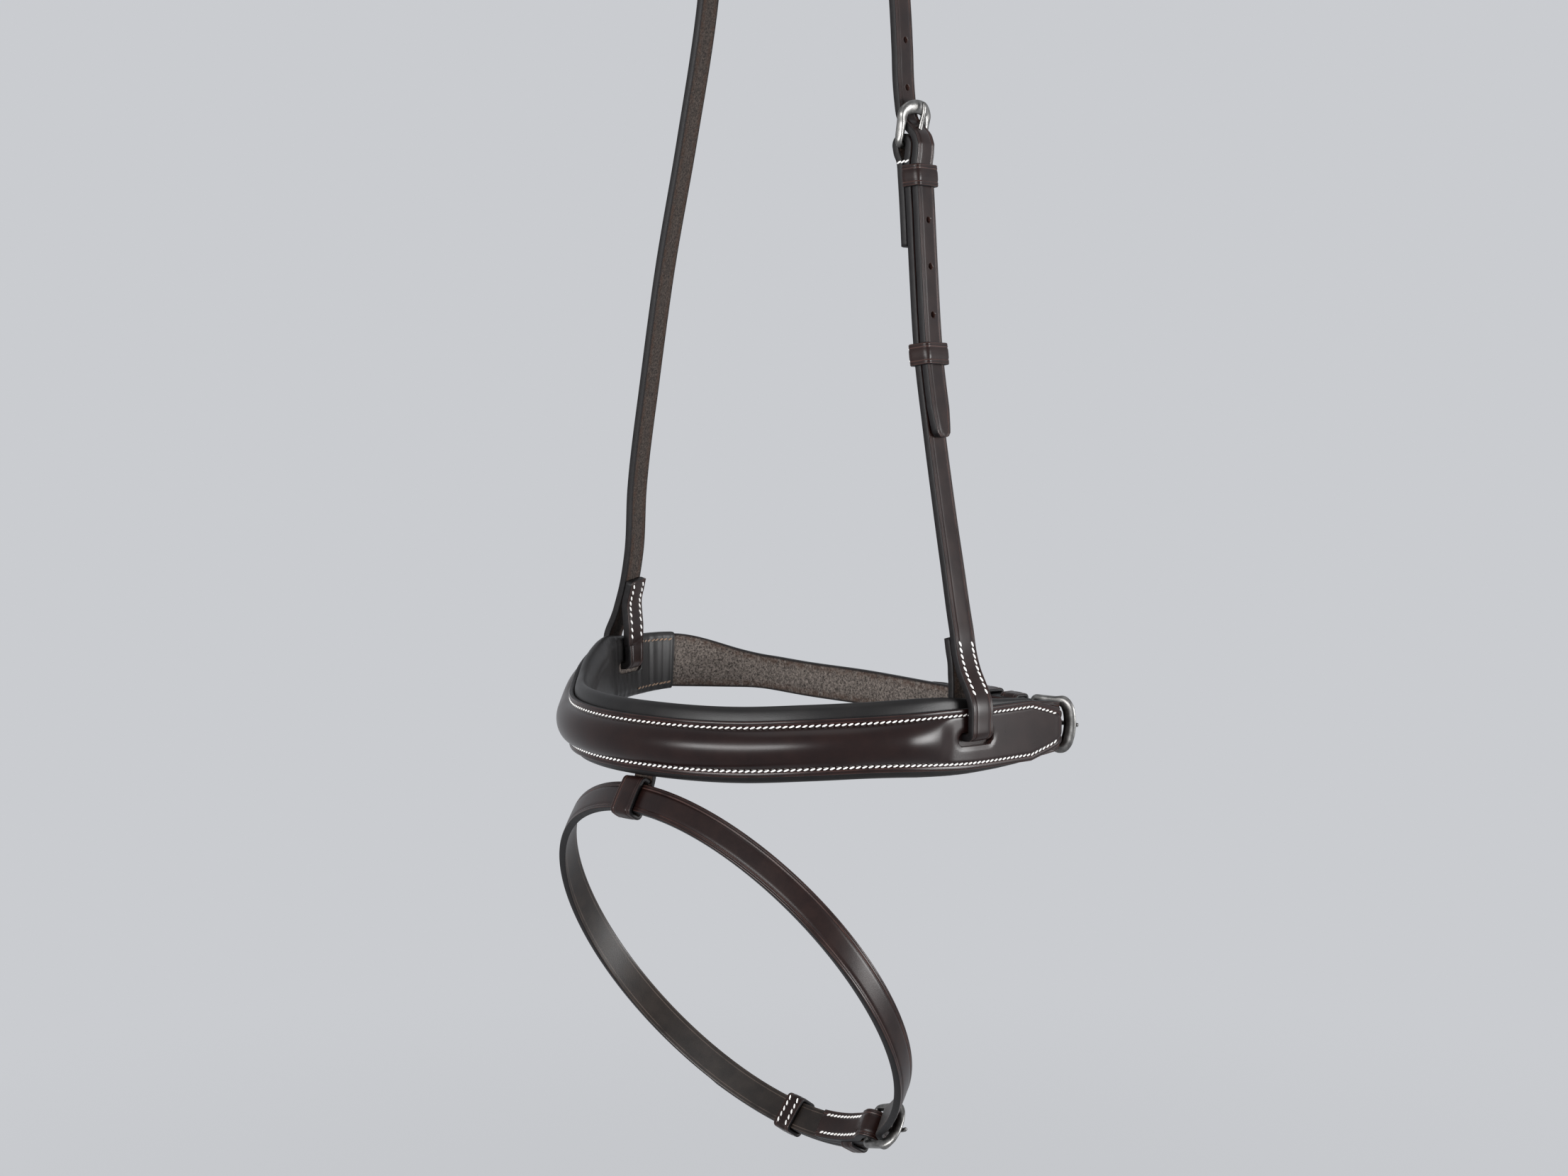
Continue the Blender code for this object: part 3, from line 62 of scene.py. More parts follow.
STRAP_WIDTH = 0.0127
STRAP_THICK = 0.0033
HOLE_RADIUS = 0.0014
CHIN_WIDTH = 0.016
CHIN_THICK = 0.0030
CHIN_TAPER = 0.050
print("straps %.1f and %.1f mm wide" % (STRAP_WIDTH * 1000, CHIN_WIDTH * 1000))

# %% Sizes of the nose band
NOSE_RADIUS = 0.101
NEAR_TURN = math.radians(90)
FAR_FRONT_TURN = math.radians(45)
FAR_FLANK_TURN = math.radians(24)
SLOT_TO_LINING_END = 0.0365
SLOT_TO_TIP = 0.0575
SLOT_TO_CORNER = 0.0655
REAR_TURN = math.radians(4)
FAR_END_TURN = math.radians(30)
CORNER_RADIUS = 0.012
BEND_RADIUS = 0.042
FAR_RISE = 0.0144
LINE_STEP = 0.001

FACE_NOSE_HALF = 0.0118
FACE_SLOT_HALF = 0.0131
FACE_WIDENS_AT = 0.100
FACE_TIP_HALF = 0.0066
FACE_THICK = 0.0022
SEAM_INSET = 0.0028
ROLL_RISE = 0.0056
ROLL_END = 0.146
ROLL_TAPER = 0.026
ROLL_SEAM_GAP = 0.0012
LINING_THICK = 0.0009
LINING_TOP_AT_SLOT = 0.0014
PAD_DEPTH = 0.0082
ROOT_START = 0.1425
SLOT_LENGTH = 0.021
SLOT_HEIGHT = 0.006
print("band %.1f mm high over the nose" % (FACE_NOSE_HALF * 2000))

# %% Sizes of the straps and buckles
HEAD_DROP = 0.4550
STRAP_STAND_OFF = 0.0005
SLOT_STRAP_RISE = SLOT_HEIGHT / 2 - SLOT_PLAY - STRAP_THICK / 2
CROWN_TWIST = math.radians(10)
LOOP_BEND = 0.0026
RETURN_LENGTH = 0.044

BUCKLE_WIRE = 0.00175
FRONT_WIRE = 0.00225
HEEL_WIRE = 0.0015
TONGUE_WIRE = 0.0012
BUCKLE_SIDE_PLAY = 0.0006
BUCKLE_CORNER = 0.0034
TONGUE_REACH = 0.0024
BAR_PLAY = 0.0006
BILLET_LIFT = 0.0001
BILLET_WRAP = math.radians(32)
FRONT_BOW = 0.0012
FRONT_DOME = 0.0010
HEAD_FRAME_LENGTH = 0.0156
CHIN_FRAME_LENGTH = 0.0172

CHEEK_HEEL_REACH = 0.2547
CHEEK_HEEL_SINK = (STRAP_THICK + LAYER_GAP) / 2
CHEEK_TILT = math.radians(15)
CHEEK_CHAPE = 0.043
CHEEK_FIXED_AT = 0.0135
CHEEK_RUNNER_AT = 0.0895
CHEEK_BILLET = 0.125

REAR_HEEL_REACH = 0.0149
REAR_TILT = math.radians(9)
REAR_CHAPE = 0.046
REAR_FIXED_AT = 0.0145
REAR_RUNNER_AT = 0.0290
REAR_BILLET = 0.078

FLASH_RADIUS_ACROSS = 0.0985
FLASH_RADIUS_DOWN = 0.0935
FLASH_DROOP = math.radians(57)
FLASH_HEADING = math.radians(84)
FLASH_LEAN = math.radians(32)
FLASH_DROP = 0.0245
FLASH_SET_BACK = 0.0010
FLASH_SHIFT = 0.0045
FLASH_HEEL_ANGLE = math.radians(26)
FLASH_HEEL_SINK = (STRAP_THICK + LAYER_GAP) / 2
FLASH_TILT = math.radians(14)
FLASH_CHAPE = 0.040
FLASH_FIXED_AT = 0.0190
FLASH_RUNNER_AT = 0.0640
FLASH_BILLET = 0.122
FLASH_LOOP_WIDTH = 0.012
FLASH_LOOP_THICK = 0.0018
FLASH_LOOP_END_SHARE = 0.12
FLASH_LOOP_ASIDE = -0.0022

KEEPER_LENGTH = 0.0094
KEEPER_THICK = 0.0016
KEEPER_CORNER = 0.0016
print("buckle frames %.1f and %.1f mm long" % (HEAD_FRAME_LENGTH * 1000, CHIN_FRAME_LENGTH * 1000))

# %% Sizes of the surface
SURFACE_STEP = 0.0014
TURN_STEP = math.radians(9)
FINE_STEP = 0.0009
FINE_TURN = math.radians(12)
EDGE_ROUND = 0.00060
CREASE_INSET = 0.00220
CREASE_WIDTH = 0.00036
CREASE_DEPTH = 0.00028
FINE_CREASE_INSET = 0.00112
FINE_CREASE_WIDTH = 0.00018
FINE_CREASE_SHARE = 0.35
KEEPER_CREASE_DEPTH = CREASE_DEPTH * 0.8
STRAP_CROWN = 0.00016
STITCH_PITCH = 0.00272
STITCH_LENGTH = 0.00250
STITCH_WIDTH = 0.00090
STITCH_HEIGHT = 0.00084
STITCH_SLANT = math.radians(22)
SEAM_DEPTH = 0.00042
LINING_SEAM_INSET = 0.0034
SEAM_WIDTH = 0.00070
print("stitches every %.2f mm" % (STITCH_PITCH * 1000))

# %% [markdown]
# ## Routes
#
# Every strap lies along a line through space with a side direction at each
# point, so that a place is given as a distance along it, outwards and sideways.
# There are three such lines: round the nose and chin, over the poll, and round
# the flash loop. They are the CAD part's own lines, so that each new surface
# lies where its solid does. Only the far strap is turned a little on its line,
# so that it faces as the real one does.

# %% Lines through space
def smooth_curve(points, per_span=12):
    """Curve through the points, with slopes weighted by the spans' lengths."""
    pts = np.array([tuple(p) for p in points], float)
    span = np.linalg.norm(np.diff(pts, axis=0), axis=1)[:, None]
    slope = np.diff(pts, axis=0) / span
    inner = (slope[:-1] * span[1:] + slope[1:] * span[:-1]) / (span[:-1] + span[1:])
    slopes = np.vstack([slope[:1], inner, slope[-1:]])
    out = []
    for a, b, m, n, h in zip(pts[:-1], pts[1:], slopes[:-1], slopes[1:], span[:, 0]):
        for t in np.arange(per_span) / per_span:
            out.append((1 + 2 * t) * (1 - t) ** 2 * a + t * (1 - t) ** 2 * h * m
                       + t ** 2 * (3 - 2 * t) * b - t ** 2 * (1 - t) * h * n)
    out.append(pts[-1])
    return np.array(out)


def arc(centre, radius, start, end, count):
    angles = np.linspace(start, end, count)
    return [(centre[0] + radius * math.cos(a), centre[1] + radius * math.sin(a)) for a in angles]


def lengths(points):
    steps = np.linalg.norm(np.diff(points, axis=0), axis=1)
    return np.concatenate([[0.0], np.cumsum(steps)])


def at_marks(points, run, marks):
    """The points of a path at the given runs along it."""
    return np.stack([np.interp(marks, run, points[:, k]) for k in range(points.shape[1])], axis=1)


def unit(vectors):
    return vectors / np.linalg.norm(vectors, axis=-1, keepdims=True)


def read_table(table, value, column=1):
    """A column of a table at a value between the entries of its first column."""
    return float(np.interp(value, [row[0] for row in table], [row[column] for row in table]))


def ease(value, low, high):
    t = np.clip((value - low) / (high - low), 0.0, 1.0)
    return t * t * (3 - 2 * t)


class Line:
    """A route through space with a strap's side direction at every point."""

    def __init__(self, points, sides, closed=False):
        self.closed = closed
        self.points = np.array(points, float)
        self.run = lengths(self.points)
        self.length = float(self.run[-1])
        self.tangents = unit(np.gradient(self.points, self.run, axis=0))
        sides = np.array(sides, float)
        self.sides = unit(sides - (sides * self.tangents).sum(1)[:, None] * self.tangents)

    def read(self, table, along):
        along = along % self.length if self.closed else along
        return np.array([np.interp(along, self.run, table[:, k]) for k in range(3)])

    def frame(self, along):
        """Point, tangent, outward and side directions at a distance along."""
        tangent = unit(self.read(self.tangents, along))
        side = self.read(self.sides, along)
        side = unit(side - side.dot(tangent) * tangent)
        return self.read(self.points, along), tangent, np.cross(tangent, side), side

    def place(self, along, out=0.0, side=0.0):
        point, _, outward, across = self.frame(along)
        return point + out * outward + side * across

    def locate(self, point, low, high):
        marks = np.linspace(low, high, 400)
        spots = np.array([self.place(m) for m in marks])
        best = int(np.argmin(np.linalg.norm(spots - point, axis=1)))
        return marks[best], float((point - spots[best]).dot(self.frame(marks[best])[2]))


# %% The nose line
NEAR_RISE_SHARES = [
    (0.0, -0.05), (0.24, -0.05), (0.36, 0.03), (0.49, 0.08), (0.60, 0.07), (0.71, 0.03),
    (0.87, 0.02), (1.0, 0.0)]
TAIL_RISE_SHARES = [(0.19, 0.174), (0.33, 0.29), (0.50, 0.43), (0.70, 0.514), (0.85, 0.67)]
FAR_RISE_SHARES = [
    (1.23, 1.0), (1.0, 1.0), (0.92, 0.972), (0.70, 0.625), (0.567, 0.21), (0.444, 0.05),
    (0.2, -0.03), (0.0, -0.05)]


def plan_arc(start, heading, length, turn):
    """Plan points of an arc from a start and heading, and where it ends."""
    count = max(2, int(round(length / LINE_STEP)) + 1)
    headings = heading + turn * np.linspace(0.0, 1.0, count)
    mids = (headings[1:] + headings[:-1]) / 2
    steps = np.stack([np.cos(mids), np.sin(mids)], axis=1) * length / (count - 1)
    points = np.vstack([start, start + np.cumsum(steps, axis=0)])
    return points, points[-1], heading + turn


def near_side_plan():
    front, end, heading = plan_arc(
        np.array([0.0, -NOSE_RADIUS]), 0.0, NOSE_RADIUS * NEAR_TURN, NEAR_TURN)
    rear, corner, heading = plan_arc(end, heading, SLOT_TO_CORNER, REAR_TURN)
    return np.vstack([front, rear[1:]]), corner, heading


def far_side_plan():
    start = np.array([0.0, -NOSE_RADIUS])
    front, end, heading = plan_arc(start, math.pi, NOSE_RADIUS * FAR_FRONT_TURN, -FAR_FRONT_TURN)
    flank, end, heading = plan_arc(
        end, heading, NOSE_RADIUS * (NEAR_TURN - FAR_FRONT_TURN), -FAR_FLANK_TURN)
    rear, end, heading = plan_arc(end, heading, SLOT_TO_LINING_END, -FAR_END_TURN)
    return np.vstack([front, flank[1:], rear[1:]]), end, heading


def tail_plan(corner, end, heading):
    """Bend behind the far side, and the straight tail from it to the corner."""
    centre = end + BEND_RADIUS * np.array([math.sin(heading), -math.cos(heading)])
    reach = corner - centre
    straight = math.atan2(reach[1], reach[0]) - math.asin(BEND_RADIUS / np.linalg.norm(reach))
    turn = heading - straight
    bend, tangent_point, _ = plan_arc(end, heading, BEND_RADIUS * turn, -turn)
    return bend, tangent_point, straight


def corner_fillet(corner, heading_in, heading_out):
    turn = heading_out - heading_in
    reach = CORNER_RADIUS * math.tan(turn / 2)
    start = corner - reach * np.array([math.cos(heading_in), math.sin(heading_in)])
    points, _, _ = plan_arc(start, heading_in, CORNER_RADIUS * turn, turn)
    return points, reach


def cut_end(points, reach):
    run = lengths(points)
    return points[run < run[-1] - reach - LINE_STEP / 2]


def straight_plan(start, end):
    count = max(2, int(round(np.linalg.norm(end - start) / LINE_STEP)) + 1)
    return start + (end - start) * np.linspace(0.0, 1.0, count)[:, None]


def nose_line():
    """The closed nose line, from the nose centre round the near side."""
    near, corner, heading = near_side_plan()
    far, far_end, far_heading = far_side_plan()
    bend, tangent_point, straight = tail_plan(corner, far_end, far_heading)
    fillet, reach = corner_fillet(corner, heading, straight + math.pi)
    tail = straight_plan(fillet[-1], tangent_point)
    plan = np.vstack([cut_end(near, reach), fillet, tail[1:-1], bend[::-1], far[::-1][1:]])
    run = lengths(plan)
    marks = {
        "near_slot": NOSE_RADIUS * NEAR_TURN,
        "corner": len(cut_end(near, reach)) * LINE_STEP + CORNER_RADIUS * (
            straight + math.pi - heading) / 2,
        "far_slot": run[-1] - NOSE_RADIUS * NEAR_TURN,
        "bend": run[-1] - NOSE_RADIUS * NEAR_TURN - SLOT_TO_LINING_END,
        "full": run[-1]}
    corner, bend, full = marks["corner"], marks["bend"], marks["full"]
    rise = smooth_curve(
        [(corner * along, FAR_RISE * up) for along, up in NEAR_RISE_SHARES]
        + [(corner + (bend - corner) * along, FAR_RISE * up) for along, up in TAIL_RISE_SHARES]
        + [(full - marks["near_slot"] * along, FAR_RISE * up) for along, up in FAR_RISE_SHARES])
    level = -HEAD_DROP + np.interp(run, rise[:, 0], rise[:, 1])
    upright = np.tile([0.0, 0.0, 1.0], (len(plan), 1))
    return Line(np.column_stack([plan, level]), upright, True), marks


# %% The head strap's line
NEAR_LINE_SHARES = [
    (0.938, 0.932), (0.900, 0.882), (0.844, 0.820), (0.787, 0.761), (0.717, 0.698),
    (0.647, 0.642), (0.568, 0.605), (0.502, 0.579), (0.455, 0.557), (0.423, 0.540),
    (0.379, 0.504), (0.317, 0.468), (0.242, 0.442), (0.172, 0.411), (0.106, 0.358),
    (0.055, 0.271), (0.0165, 0.143)]
FAR_LINE_SHARES = [
    (0.0155, 0.127), (0.053, 0.241), (0.105, 0.321), (0.189, 0.375),
    (0.330, 0.439), (0.460, 0.545), (0.593, 0.669), (0.696, 0.750),
    (0.812, 0.836), (0.880, 0.868), (0.912, 0.900), (0.937, 0.938)]
NEAR_PLACE_SHARES = [(0.0, 0.0), (0.32, 0.0), (0.65, 0.5), (0.8, 0.72), (0.94, 1.0), (1.0, 1.0)]
FAR_PLACE_SHARES = [(0.0, 0.0), (0.32, 0.0), (0.58, 0.4), (0.8, 0.72), (0.94, 1.0), (1.0, 1.0)]
NEAR_SIDE_SHARES = [(0.0, 0.0), (0.45, 0.1), (0.65, 0.2), (0.8, 0.4), (0.93, 1.0), (1.0, 1.0)]
FAR_SIDE_SHARES = [(0.0, 0.0), (0.35, 0.18), (0.58, 0.5), (0.8, 0.56), (0.93, 0.66), (1.0, 1.0)]


def strap_hang(nose, mark):
    """Reach, turns and level at which a head strap meets its slot."""
    point, _, outward, _ = nose.frame(mark)
    outward_place = nose.place(mark, FACE_THICK + STRAP_STAND_OFF + STRAP_THICK / 2)
    place_turn = math.atan2(outward_place[1], outward_place[0])
    face_turn = math.atan2(outward[1], outward[0])
    return float(np.hypot(*outward_place[:2])), place_turn, face_turn, point[2] + SLOT_STRAP_RISE


def turn_between(start, end, share):
    return start + ((end - start + math.pi) % (2 * math.pi) - math.pi) * share


def strap_run(shares, hang, crown_turn, place_shares, side_shares, top_level):
    """Points and side directions of one side of the head strap."""
    reach, place_turn, face_turn, level = hang
    upright = (FACE_SLOT_HALF - SLOT_STRAP_RISE) / HEAD_DROP
    rows = [(1.0, 1.0), (1.0 - upright / 2, 1.0), (1.0 - upright, 1.0)]
    rows = rows + list(shares) if shares[0][0] > shares[-1][0] else list(shares) + rows[::-1]
    points, sides = [], []
    for drop, out in rows:
        turn = turn_between(crown_turn, place_turn, read_table(place_shares, drop))
        face = turn_between(crown_turn, face_turn, read_table(side_shares, drop))
        points.append((out * reach * math.cos(turn), out * reach * math.sin(turn),
                       drop * level + (1.0 - drop) * top_level))
        sides.append((-math.sin(face), math.cos(face), 0.0))
    return points, sides


def head_line(nose, marks):
    """The head strap's line, from the near slot over the crown to the far."""
    near = strap_hang(nose, marks["near_slot"])
    far = strap_hang(nose, marks["far_slot"])
    top = STRAP_THICK / 2
    near_points, near_sides = strap_run(
        NEAR_LINE_SHARES, near, CROWN_TWIST, NEAR_PLACE_SHARES, NEAR_SIDE_SHARES, top)
    far_points, far_sides = strap_run(
        FAR_LINE_SHARES, far, CROWN_TWIST + math.pi, FAR_PLACE_SHARES, FAR_SIDE_SHARES, top)
    crown_side = (-math.sin(CROWN_TWIST), math.cos(CROWN_TWIST), 0.0)
    far_sides = [tuple(-c for c in side) for side in far_sides]
    rows = np.hstack([np.array(near_points + [(0.0, 0.0, top)] + far_points),
                      np.array(near_sides + [crown_side] + far_sides)])
    fine = smooth_curve(rows, 24)
    return Line(fine[:, :3], -fine[:, 3:])


# %% The flash strap's line
def flash_line(nose):
    """The flash strap's loop, from the nose centre round the near side."""
    slope = np.array([
        math.cos(FLASH_HEADING) * math.cos(FLASH_DROOP),
        math.sin(FLASH_HEADING) * math.cos(FLASH_DROOP), -math.sin(FLASH_DROOP)])
    across = np.array([math.sin(FLASH_HEADING), -math.cos(FLASH_HEADING), 0.0])
    top = nose.place(0.0, -FLASH_SET_BACK, -FLASH_DROP) - FLASH_SHIFT * across
    centre = top + FLASH_SHIFT * across + FLASH_RADIUS_DOWN * slope
    angles = np.linspace(math.pi, -math.pi, 721)
    points = [centre + FLASH_RADIUS_ACROSS * math.sin(a) * across
              + FLASH_RADIUS_DOWN * math.cos(a) * slope for a in angles]
    side = np.array([0.0, math.sin(FLASH_LEAN), math.cos(FLASH_LEAN)])
    line = Line(points, np.tile(side, (len(points), 1)), True)
    return line, float(line.run[np.argmin(abs(angles - FLASH_HEEL_ANGLE))])


nose, marks = nose_line()
head = head_line(nose, marks)
flash, flash_heel = flash_line(nose)
print("nose line %.0f mm, head strap %.0f mm, flash loop %.0f mm" % (
    nose.length * 1000, head.length * 1000, flash.length * 1000))

# %% [markdown]
# ## How straps fold
#
# At a buckle the strap turns round the heel bar and is sewn back on itself;
# saddlers call that end the chape. The other end, the billet, comes over the
# heel bar and under the front bar. At a slot the strap loops through and
# returns up the inner side. Each profile is a row of (along, out) points.

# %% Profiles of the strap ends
CHAPE_TOP_SHARES = [(-4.2, 0.0), (-3.0, 0.0), (-2.2, 0.10), (-1.1, 0.64), (0.0, 1.0)]
CHAPE_UNDER_SHARES = [(0.0, 0.0), (-1.0, 0.24), (-1.9, 0.88), (-2.45, 1.0), (-3.6, 1.0)]
RETURN_SHARES = [
    (1.0, 0.0), (0.85, 0.0), (0.66, 0.03), (0.46, 0.29), (0.26, 0.71), (0.09, 0.97), (0.0, 1.0)]
BILLET_FALL_SHARES = [(0.28, 0.36), (0.58, 0.80), (0.86, 0.985), (1.0, 1.0), (1.25, 1.0)]


def shifted(points, distance):
    """Open outline moved towards its left-hand side."""
    pts = np.array(points)
    steps = unit(np.gradient(pts, axis=0))
    return pts + distance * np.column_stack([-steps[:, 1], steps[:, 0]])


def chape_top(sink, radius):
    return smooth_curve([(radius * out, (radius - sink) * up) for out, up in CHAPE_TOP_SHARES], 8)


def chape_rows(heel, sink, sense, thick, lead, back):
    """Outer layer up to the heel bar, round it, and the return under it."""
    pitch = thick + LAYER_GAP
    radius = HEEL_WIRE + LAYER_GAP + thick / 2
    outer = np.vstack([[(-lead, 0.0)], chape_top(sink, radius)])
    fold = arc((0.0, -sink), radius, math.pi / 2, -math.pi / 2, 25)
    under = smooth_curve([
        (radius * out, -sink - radius + (sink + radius - pitch) * up)
        for out, up in CHAPE_UNDER_SHARES], 8)
    rows = np.vstack([outer[:-1], fold, under[1:], [(-back, -pitch)]])
    return np.column_stack([heel + sense * rows[:, 0], rows[:, 1]])


def billet_rows(heel, sink, front, sense, thick, length, lead_out):
    """From the billet's tip back over the heel bar and under the front bar."""
    pitch = thick + LAYER_GAP
    radius = HEEL_WIRE + LAYER_GAP + thick / 2
    ahead = sense * (front[0] - heel)
    under = front[1] - FRONT_WIRE - BAR_PLAY - thick / 2
    fold = arc((0.0, -sink), radius, math.pi / 2, math.pi / 2 - BILLET_WRAP, 4)
    over = shifted(np.vstack([chape_top(sink, radius), fold[1:]]), pitch + BILLET_LIFT)
    start = over[-1]
    reach, fall = ahead - start[0], start[1] - under
    down = [(start[0] + reach * out, start[1] - fall * down) for out, down in BILLET_FALL_SHARES]
    rows = np.vstack([
        [(-length, pitch)], over[:-4], smooth_curve([over[-4], start, *down, *lead_out], 12)])
    return np.column_stack([heel + sense * rows[:, 0], rows[:, 1]])


def loop_rows(end, sense):
    """A strap end that loops through its slot and returns up the inner side."""
    pitch = STRAP_THICK + LAYER_GAP
    layers = FACE_THICK + CHIN_THICK + LINING_THICK + 3 * LAYER_GAP
    inner = -(STRAP_THICK + STRAP_STAND_OFF + layers + SLOT_PLAY)
    top = FACE_SLOT_HALF + LINING_TOP_AT_SLOT + LINING_THICK - SLOT_STRAP_RISE
    above = [(top + (RETURN_LENGTH - top) * up, -pitch + (inner + pitch) * across)
             for up, across in RETURN_SHARES]
    under = smooth_curve([*above, (top / 2, inner), (LOOP_BEND, inner)], 12)
    inside = arc((LOOP_BEND, inner + LOOP_BEND), LOOP_BEND, -math.pi / 2, -math.pi, 16)
    outside = arc((LOOP_BEND, -LOOP_BEND), LOOP_BEND, math.pi, math.pi / 2, 16)
    rows = np.vstack([under[:-1], inside, outside])
    return np.column_stack([end + sense * rows[:, 0], rows[:, 1]])


class Closure:
    """Where a buckle sits: heel and front bars, and the frame's axes."""

    def __init__(self, line, heel, sink, sense, tilt, frame_length, width):
        self.line, self.heel, self.sense = line, heel, sense
        self.frame_length, self.width = frame_length, width
        _, tangent, outward, _ = line.frame(heel)
        self.origin = line.place(heel, -sink)
        ahead = sense * tangent
        self.ahead = math.cos(tilt) * ahead + math.sin(tilt) * outward
        self.up = math.cos(tilt) * outward - math.sin(tilt) * ahead
        self.side = np.cross(self.up, self.ahead)
        front = self.origin + frame_length * self.ahead
        self.front_row = line.locate(front, heel - 3 * frame_length, heel + 3 * frame_length)

    def at(self, points):
        """Points given as (ahead, sideways, up), put in their place."""
        return self.origin + np.array(points) @ np.array([self.ahead, self.side, self.up])


cheek = Closure(head, CHEEK_HEEL_REACH, CHEEK_HEEL_SINK, 1, CHEEK_TILT, HEAD_FRAME_LENGTH, STRAP_WIDTH)
chin_centre = -(LAYER_GAP + CHIN_THICK / 2)
chin_sink = (CHIN_THICK + LAYER_GAP) / 2
rear_heel = marks["corner"] + REAR_HEEL_REACH
rear = Closure(nose, rear_heel, chin_sink - chin_centre, -1, REAR_TILT, CHIN_FRAME_LENGTH, CHIN_WIDTH)
thin = Closure(flash, flash_heel, FLASH_HEEL_SINK, -1, FLASH_TILT, HEAD_FRAME_LENGTH, STRAP_WIDTH)
print("heel bars, mm:", [[round(c * 1000, 1) for c in k.origin] for k in (cheek, rear, thin)])

# %% [markdown]
# ## Materials
#
# The strap leather is vegetable-tanned cowhide, dyed havana and waxed, so it is
# nearly black with a satin sheen that breaks up on its pores. Along its creases
# and corners the colour is paler: partly wax worn away, partly painted highlight
# where those edges catch the light. Its cut edges are painted darker. Its flesh
# side is rough and greyer, but sealed smooth inside the flash strap and the
# keepers. The chin strap's tail has a paler copy of the flesh side, painted light
# where that tail is lit more strongly. The lining is softer chrome-tanned leather.
# A picture of leather would repeat and stretch. So each finish is made of noise
# and cells in the piece's own coordinates, and it holds from every side.

# %% Writing shaders as formulas
class Value:
    """A socket that adds Math nodes when it is used in a formula."""

    def __init__(self, nodes, socket):
        self.nodes, self.socket = nodes, socket

    def maths(self, operation, *values):
        return self.nodes.node("ShaderNodeMath", values, {"operation": operation})

    def __add__(self, other):
        return self.maths("ADD", self, other)

    def __sub__(self, other):
        return self.maths("SUBTRACT", self, other)

    def __rsub__(self, other):
        return self.maths("SUBTRACT", other, self)

    def __mul__(self, other):
        return self.maths("MULTIPLY", self, other)

    __radd__ = __add__
    __rmul__ = __mul__

    def between(self, low, high):
        """0 below low, 1 above high, and smooth in between."""
        return self.nodes.node("ShaderNodeMapRange", {"Value": self, "From Min": low, "From Max": high},
                               {"interpolation_type": "SMOOTHSTEP"})


class Nodes:
    """A node tree whose every new node comes from one method."""

    def __init__(self, tree):
        self.tree = tree

    def node(self, kind, values=(), settings=None, output=0):
        """Add a node: its settings first, then a value or link for each socket."""
        made = self.tree.nodes.new(kind)
        for key, value in (settings or {}).items():
            setattr(made, key, value)
        pairs = values.items() if isinstance(values, dict) else enumerate(values)
        for key, value in pairs:
            if isinstance(value, Value):
                self.tree.links.new(value.socket, made.inputs[key])
            else:
                made.inputs[key].default_value = value
        return Value(self, made.outputs[output]) if made.outputs else None


class Look(Nodes):
    """A material with the nodes that make its finish."""

    def __init__(self, name, **uniform):
        self.material = bpy.data.materials.new(name)
        self.material.use_nodes = True
        super().__init__(self.material.node_tree)
        self.shader = self.tree.nodes["Principled BSDF"]
        for key, value in uniform.items():
            self.shader.inputs[key.replace("_", " ")].default_value = value

    def place(self, scale=(1.0, 1.0, 1.0)):
        """The piece's own coordinates, in metres times the scale."""
        place = self.node("ShaderNodeTexCoord", output="Object")
        return self.node("ShaderNodeVectorMath", [place, scale], {"operation": "MULTIPLY"})

    def noise(self, place, scale, detail=3.0, roughness=0.5):
        return self.node("ShaderNodeTexNoise", {
            "Vector": place, "Scale": scale, "Detail": detail, "Roughness": roughness})

    def cells(self, place, scale):
        return self.node("ShaderNodeTexVoronoi", {"Vector": place, "Scale": scale})

    def mark(self, name):
        """A number that the piece's geometry carries at each point."""
        return self.node("ShaderNodeAttribute", settings={"attribute_name": name}, output="Fac")

    def mix(self, factor, low, high):
        """Blend two colours; 6, 7 and output 2 are the node's colour sockets."""
        return self.node("ShaderNodeMix", {0: factor, 6: low, 7: high}, {"data_type": "RGBA"}, 2)

    def bump(self, height, distance):
        return self.node("ShaderNodeBump", {"Height": height, "Distance": distance})

    def feed(self, **sockets):
        for key, value in sockets.items():
            self.tree.links.new(value.socket, self.shader.inputs[key.replace("_", " ")])
        return self.material


# %% Leather finishes
# pattern sizes as repeats per metre, and wear and painted highlight bands as (starts, full) distances from
# the rim
MOTTLE, PORES, FINE_GRAIN, GROWTH_LINES = 90.0, 1900.0, 2600.0, 700.0
WORN = 0.0013, 0.0004
RUBBED_AND_HIGHLIGHT_CORNER = 0.00075, 0.00030
BURNISH_AND_HIGHLIGHT_OUTER, BURNISH_AND_HIGHLIGHT_INNER = (0.00155, 0.00180), (0.00212, 0.00192)
PAINT_RIPPLE, PAINT_DEPTH = 420.0, 0.00005
FIBRES, TUFTS, DUST, NAP_DEPTH = 950.0, 420.0, 1100.0, 0.0004
RUSTY_MARGIN, PAINTED_RIM = (0.0050, 0.0016), (0.0015, 0.0004)
RUST_BROWN, RIM_BLACK = (0.046, 0.022, 0.013, 1.0), (0.0075, 0.0062, 0.0066, 1.0)


